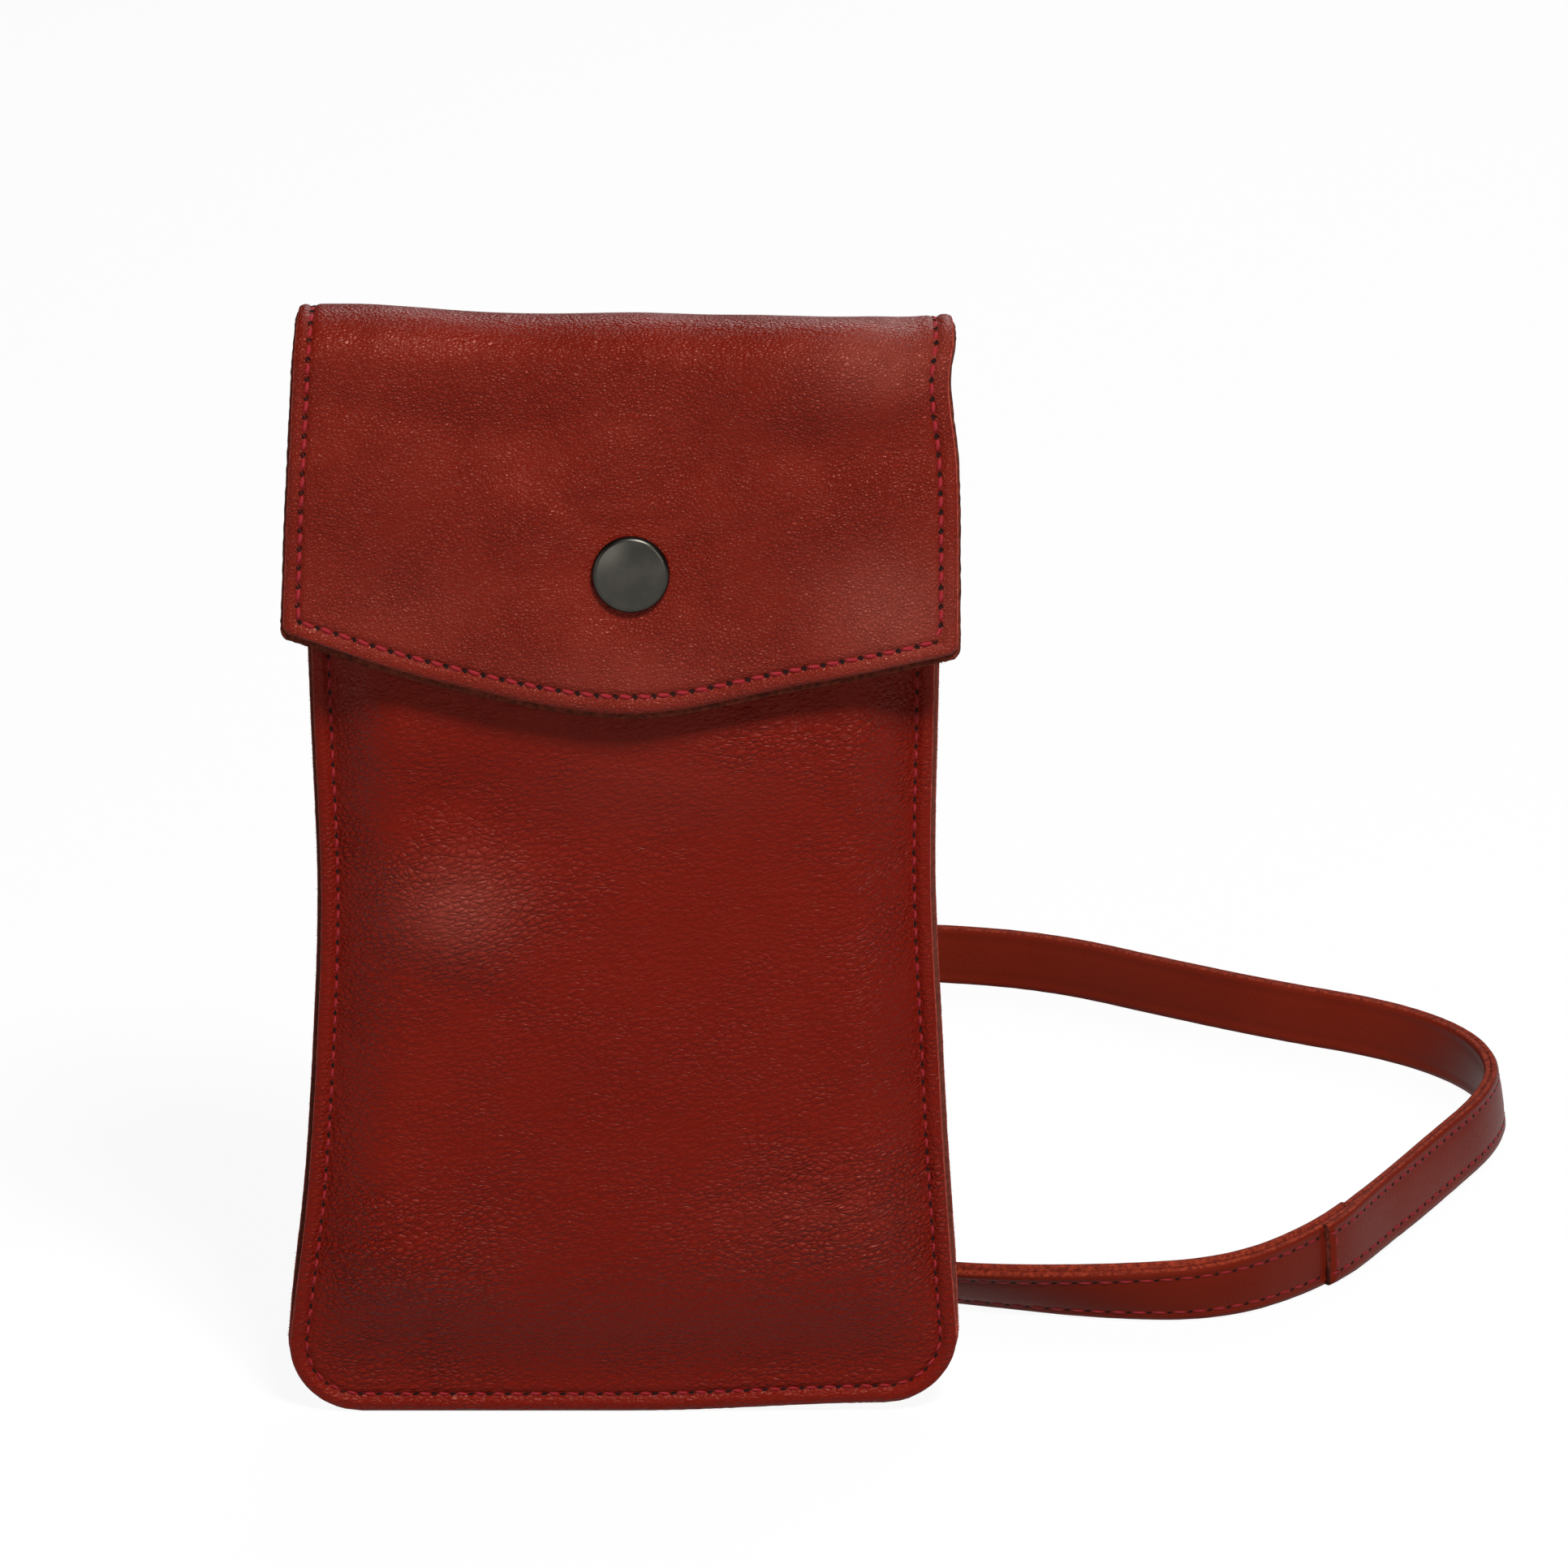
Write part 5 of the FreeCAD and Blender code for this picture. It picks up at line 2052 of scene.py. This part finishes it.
@dataclass
class Strap:
    """The strap: two plies sewn along both edges, lapped once and sewn to the back, in millimetres.

    drop holds the y and z of each end's way to the floor, loop the x and y on the floor, and leans
    how many degrees the strap leans at some of the loop's points.
    """

    width: float = 11.0
    ply: float = 1.3
    length: float = 1243.5
    stitch_inset: float = 1.9
    offset: float = 32.0
    lap_at: Flat = (119.5, 60.5)
    drop: Line = (
        (10.97, 146), (10.97, 158), (17, 169.5), (29, 174), (42, 168), (50, 154), (54.5, 128),
        (56.5, 92), (61.5, 57), (69, 29), (81, 9.5), (97, 1.3), (110, 1.3))
    loop: Line = (
        (-32, 150), (-32, 167), (-27, 187), (-15, 204), (4, 215), (28, 220.5), (54, 220), (77, 214),
        (97, 200), (117, 187), (138, 176), (151, 161), (155.4, 143), (152, 126), (142.5, 106),
        (131, 82), (118, 59), (101, 43), (80, 42), (58, 47), (36, 54), (15, 62), (-4, 74),
        (-17, 92), (-22.5, 114), (-22.8, 139), (-21.5, 164), (-14.5, 177.5), (-2, 185), (12, 185),
        (25, 177.5), (32, 165), (32, 150))
    leans: Line = (
        (10, 0), (11, -3), (12, -8), (13, -14), (14, -18), (15, -15), (16, -3), (17, 12), (18, 26), (19, 42),
        (20, 42), (21, 25), (22, 0))
    early_twist: float = 0.3
    late_twist: float = 0.6
    resolution: int = 12
    pebbling: float = 0.35
    half_shares: Tuple[float, ...] = (0.3, 0.54, 0.67, 0.8, 0.9, 0.96, 1.0)
    ply_gap: float = 0.04
    crown: float = 0.1
    rounding: Flat = (0.36, 0.4)
    groove: float = 0.22
    edge_bulge: float = 0.08
    edge_fuzz: float = 0.05
    fuzz_scale: Spot = (0.9, 2.3, 3.0)
    outer_inset: float = 0.1
    inner_join: float = 10.0
    inner_shift: float = 0.5
    lap_lift: float = 1.05
    lap_lift_run: float = 28.0
    lap_under: float = 20.0
    lap_row: float = 1.0
    cross_row: float = 1.6
    cross_step: float = 0.9
    cross_steps: int = 4
    row_sunk: float = 0.12
    cross_sunk: float = 0.05
    end_steps: int = 22
    end_inset: float = 2.0
    end_row_steps: int = 12
    sewing: Stitching = Stitching(
        pitch=3.5 * MM, length=2.4 * MM, thick=0.26 * MM, slant=0.08 * MM, hole=(0.5 * MM, 0.26 * MM),
        sunk=(0.22 * MM, GROOVE_WIDTH * MM))

    def route(self) -> Tuple[List[Vector], List[Vector]]:
        """The whole route from the left end to the right end.

        Returns:
            Its points in millimetres, and the directions of the width there.
        """
        points = [Vector((-self.offset, y, z)) for y, z in self.drop]
        flat = [ACROSS for _ in self.drop[1:]] + [(ACROSS + UP * self.early_twist).normalized()]
        wide = list(flat)
        for index, (x, y) in enumerate(self.loop):
            lean = math.radians(through(self.leans, index))
            points.append(Vector((x, y, 0.5 * self.width * math.cos(lean) + self.ply * abs(math.sin(lean)))))
            before = Vector(self.loop[max(index - 1, 0)])
            after = Vector(self.loop[min(index + 1, len(self.loop) - 1)])
            way = (after - before).normalized()
            outward = Vector((-way.y, way.x, 0.0))
            upward = UP * math.cos(lean) + outward * math.sin(lean)
            late = self.late_twist if index in (0, len(self.loop) - 1) else 0.0
            wide.append((upward + ACROSS * late).normalized())
        points += [Vector((self.offset, y, z)) for y, z in reversed(self.drop)]
        return points, wide + flat[::-1]

    def smooth(self, points: Sequence[Vector]) -> List[Vector]:
        """Read points along the smooth spline that control points give.

        Args:
            points: Control points.

        Returns:
            Points along the spline.
        """
        curve = bpy.data.curves.new("strap_line", "CURVE")
        curve.dimensions = "3D"
        curve.resolution_u = self.resolution
        spline = curve.splines.new("NURBS")
        spline.points.add(len(points) - 1)
        for target, point in zip(spline.points, points):
            target.co = (*point, 1.0)
        spline.order_u = 3
        spline.use_endpoint_u = True
        thing = add_object("strap_line", curve)
        mesh = bpy.data.meshes.new_from_object(thing)
        found = [v.co.copy() for v in mesh.vertices]
        bpy.data.objects.remove(thing)
        bpy.data.curves.remove(curve)
        bpy.data.meshes.remove(mesh)
        return found

    def frames(self) -> List[StrapFrame]:
        """Follow the whole strap.

        Returns:
            Places along it.
        """
        points, wide = self.route()
        middles = [p * MM for p in self.smooth(points)]
        widths = self.smooth(wide)
        found: List[StrapFrame] = []
        run = 0.0
        for index, middle in enumerate(middles):
            before = middles[max(index - 1, 0)]
            after = middles[min(index + 1, len(middles) - 1)]
            run += (middle - before).length / MM
            way = (after - before).normalized()
            across = (widths[index] - way * widths[index].dot(way)).normalized()
            thick = way.cross(across).normalized()
            low = middle.z - (0.5 * self.width * abs(across.z) + self.ply * abs(thick.z)) * MM
            found.append(StrapFrame(middle + UP * max(-low, 0.0), across, thick, run))
        return found

    def section(self, ply: Ply, run: float) -> List[Flat]:
        """Rounded section of one ply.

        Args:
            ply: The ply.
            run: Where along the strap.

        Returns:
            Pairs of width and thickness places round the section, its free face first.
        """
        half = 0.5 * self.width - ply.inset
        base = self.ply_gap + ply.lifted(run)
        shares = [-share for share in reversed(self.half_shares)] + [0.0] + list(self.half_shares)
        places = []
        for share in shares:
            edge = (1.0 - abs(share)) * half
            off = self.crown * (1.0 - share * share) - self.rounding[0] * bell(edge, self.rounding[1])
            off -= self.groove * bell(edge - self.stitch_inset, GROOVE_WIDTH)
            places.append((share * half, base + self.ply + off))
        middle = base + 0.5 * self.ply
        wide = half + self.edge_bulge
        places += [(wide, middle), (half, base), (0.0, base), (-half, base), (-wide, middle)]
        return [(across + ply.shift, ply.side * deep) for across, deep in places]

    def sweep(self, shape: Shape, frames: Sequence[StrapFrame], ply: Ply) -> None:
        """Add one ply along the strap.

        Args:
            shape: What it is added to.
            frames: The places that the ply covers.
            ply: The ply.
        """
        first = len(shape.points)
        along, round_it, through_it = self.fuzz_scale
        for index, frame in enumerate(frames):
            section = self.section(ply, frame.run)
            for number, (across, deep) in enumerate(section):
                seed = Vector((index * along, number * round_it, through_it * ply.side))
                shape.points.append(frame.at(across + self.edge_fuzz * noise.noise(seed), deep))
        last = 2 * len(self.half_shares) - 1
        shape.tube(first, len(frames), len(section), lambda side: 0 if 1 <= side < last else 1, 2)

    def row(self, frames: Sequence[StrapFrame], ply: Ply, side: int) -> Row:
        """One row of stitches along a ply.

        Args:
            frames: The places that the row covers.
            ply: The ply it lies on.
            side: Which edge, -1 or 1 along the width.

        Returns:
            Points with normals.
        """
        across = side * (0.5 * self.width - self.stitch_inset) + ply.shift
        deep = self.ply - self.row_sunk
        return [(f.at(across, ply.side * (deep + ply.lifted(f.run))), f.thick * ply.side) for f in frames]

    def build(self) -> List[Piece]:
        """Make the strap with its lap, its stitches and its sewn ends.

        Returns:
            The pieces.
        """
        frames = self.frames()
        want = Vector((*self.lap_at, 0.5 * self.width)) * MM
        lap = min(frames, key=lambda f: (f.middle - want).length).run
        whole = frames[-1].run
        join = max(f.run for f in frames if f.run <= lap - self.inner_join)
        inner = (Ply(1, 0.0, join), Ply(1, join, whole, shift=self.inner_shift))
        outer = (
            Ply(-1, 0.0, lap, self.outer_inset, lift=self.lap_lift, lift_from=lap - self.lap_lift_run),
            Ply(-1, lap - self.lap_under, whole, self.outer_inset))
        shape = Shape()
        rows: List[Row] = []
        for ply in inner + outer:
            self.sweep(shape, ply.frames(frames), ply)
        for ply, start in zip(outer, (0.0, lap + self.lap_row)):
            sewn = [f for f in ply.frames(frames) if f.run > start]
            rows += [self.row(sewn, ply, side.value) for side in Side]
        cross = [f for f in frames if f.run <= lap - self.cross_row][-1]
        deep = self.ply - self.cross_sunk + outer[0].lifted(cross.run)
        steps = range(-self.cross_steps, self.cross_steps + 1)
        rows.append([(cross.at(self.cross_step * k, -deep), -cross.thick) for k in steps])
        strap = self.leather_piece("strap", shape)
        stitches = self.sewing.build("strap_stitches", rows)
        settle(strap, Body.POUCH, Slot.LEATHER, "strap_drop_left", "strap_drop_right", "strap_turn_left",
               "strap_turn_right", "strap_rear_length", "strap_front_length")
        settle(stitches, Body.POUCH, Slot.THREAD)
        return [strap, stitches] + self.ends()

    def leather_piece(self, name: str, shape: Shape) -> Piece:
        """Dress plies in the strap's leather.

        Args:
            name: Name of the piece.
            shape: The plies.

        Returns:
            The piece.
        """
        # The third finish puts painted shade on the plies' cut ends.
        piece = shape.piece(name, (STRAP_LEATHER, STRAP_EDGE, STRAP_CUT_SHADE))
        carry(piece, "pebbling", [self.pebbling] * len(piece.data.vertices))
        return piece

    def ends(self) -> List[Piece]:
        """Make the strap's two sewn ends and their boxes of stitches.

        Returns:
            Each end and its stitches.
        """
        made = []
        for side in Side:
            name = f"strap_end_{side.name.lower()}"
            low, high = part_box(name)
            middle = (low + high) * 0.5
            rise = (high.z - low.z) / self.end_steps
            frames = []
            for k in range(self.end_steps + 1):
                place = Vector((middle.x, middle.y, low.z + rise * k))
                frames.append(StrapFrame(place, ACROSS, BACKWARD, rise * k / MM))
            shape = Shape()
            for ply in (Ply(1, 0.0, self.length), Ply(-1, 0.0, self.length, self.outer_inset)):
                self.sweep(shape, frames, ply)
            end = self.leather_piece(f"{name}_leather", shape)
            thread = self.sewing.build(f"{name}_stitches", self.box_rows(low, high))
            made.append(settle(end, Body.POUCH, Slot.LEATHER, name))
            made.append(settle(thread, Body.POUCH, Slot.THREAD, f"strap_end_thread_{side.name.lower()}"))
        return made

    def box_rows(self, low: Vector, high: Vector) -> List[Row]:
        """Draw a box of stitches with both diagonals on a sewn end.

        Args:
            low: The end's lowest corner.
            high: Its highest corner.

        Returns:
            The six rows.
        """
        y = high.y - self.cross_sunk * MM
        left, right = low.x + self.end_inset * MM, high.x - self.end_inset * MM
        foot, top = low.z + self.end_inset * MM, high.z - self.end_inset * MM
        corners = [Vector((x, y, z)) for x, z in ((left, foot), (right, foot), (right, top), (left, top))]
        lines = list(zip(corners, corners[1:] + corners[:1]))
        lines += [(corners[0], corners[2]), (corners[1], corners[3])]
        shares = [k / self.end_row_steps for k in range(self.end_row_steps + 1)]
        return [[(a.lerp(b, share), BACKWARD) for share in shares] for a, b in lines]


@dataclass(frozen=True)
class SoftBox:
    """A soft box: its name, its place in millimetres, its width in metres and its power in watts."""

    name: str
    place: Spot
    size: float
    power: float

    def hang(self, aim: Vector) -> None:
        """Hang the soft box so that it points at an aim in millimetres.

        Args:
            aim: What it points at.
        """
        data = bpy.data.lights.new(self.name, "AREA")
        data.size = self.size
        data.energy = self.power
        lamp = add_object(self.name, data)
        lamp.location = Vector(self.place) * MM
        lamp.rotation_euler = (aim - Vector(self.place)).to_track_quat("-Z", "Y").to_euler()


@dataclass
class Studio:
    """Floor, light and the camera at the photograph's angle, in millimetres and degrees."""

    aim: Spot = (25.98, 0.0, 110.36)
    elevation: float = 18.0
    distance: float = 1450.0
    lens: float = 205.3
    sensor: float = 36.0
    farthest: float = 20000.0
    floor_half: float = 6000.0
    floor_gap: float = 0.2
    floor_rough: float = 0.8
    floor_white: float = 0.92
    floor_grey: float = 0.12
    floor_pale: float = 0.9
    sky: float = 0.04
    lamp_aim: Spot = (20.0, 20.0, 90.0)
    lamps: Tuple[SoftBox, ...] = (
        SoftBox("top_box", (350.0, -900.0, 1280.0), 0.3, 28.0),
        SoftBox("front_box", (-380.0, -1650.0, 340.0), 0.3, 3.2),
        SoftBox("left_box", (-1300.0, -700.0, 500.0), 0.5, 2.2),
        SoftBox("right_box", (700.0, -1650.0, 520.0), 0.35, 5.0),
        SoftBox("rear_box", (300.0, 1100.0, 900.0), 0.8, 7.0),
    )

    def build(self) -> None:
        """Set the stage."""
        self.camera()
        self.floor()
        for lamp in self.lamps:
            lamp.hang(Vector(self.lamp_aim))
        bpy.context.scene.view_settings.view_transform = "Standard"

    def camera(self) -> None:
        """Place the camera."""
        data = bpy.data.cameras.new("camera")
        data.lens = self.lens
        data.sensor_width = self.sensor
        data.clip_end = self.farthest * MM
        camera = add_object("camera", data)
        rise = math.radians(self.elevation)
        aim = Vector(self.aim) * MM
        place = aim + Vector((0.0, -math.cos(rise), math.sin(rise))) * (self.distance * MM)
        camera.location = place
        camera.rotation_euler = (aim - place).to_track_quat("-Z", "Y").to_euler()
        bpy.context.scene.camera = camera

    def floor(self) -> None:
        """Lay a pale floor that keeps the shadow and looks white to the camera, and light the air."""
        size = self.floor_half * MM
        low = -self.floor_gap * MM
        corners = [(-size, -size, low), (size, -size, low), (size, size, low), (-size, size, low)]
        mesh = bpy.data.meshes.new("floor")
        mesh.from_pydata(corners, [], [(0, 1, 2, 3)])
        floor = add_object("floor", mesh)
        material, net, shader = blank_material("pale_floor")
        shader.inputs["Roughness"].default_value = self.floor_rough
        rays = net.add("ShaderNodeLightPath").outputs
        seen = net.math("MAXIMUM", rays["Is Camera Ray"], rays["Is Glossy Ray"])
        seen = net.math("MAXIMUM", seen, rays["Is Transmission Ray"])
        shades = [(level, level, level, 1.0) for level in (self.floor_grey, self.floor_pale)]
        net.link(net.mix(seen, *shades), shader.inputs["Base Color"])
        white = net.add("ShaderNodeEmission").outputs[0]
        share = net.math("MULTIPLY", seen, self.floor_white)
        both = net.add("ShaderNodeMixShader", {0: share, 1: shader.outputs[0], 2: white})
        output = next(n for n in material.node_tree.nodes if n.type == "OUTPUT_MATERIAL")
        net.link(both.outputs[0], output.inputs["Surface"])
        mesh.materials.append(material)
        world = bpy.data.worlds.new("studio")
        bpy.context.scene.world = world
        world.use_nodes = True
        air = next(n for n in world.node_tree.nodes if n.type == "BACKGROUND")
        air.inputs["Color"].default_value = (1.0, 1.0, 1.0, 1.0)
        air.inputs["Strength"].default_value = self.sky


def main() -> None:
    """Build every piece in order."""
    logging.basicConfig(level=logging.INFO)
    Studio().build()
    made = Strap().build()
    panels = Panels()
    made.append(panels.build_front())
    made += panels.build_linings()
    made += panels.build_stitches()
    made.append(panels.build_fuzz())
    cover = BackAndFlap()
    made.append(cover.build_back())
    made += cover.build_flap()
    made += cover.build_stitches()
    made.append(cover.build_fuzz())
    made += Snap().build()
    for piece in made:
        LOG.info("%s: %d points", piece.name, len(piece.data.vertices))


if __name__ == "__main__":
    main()
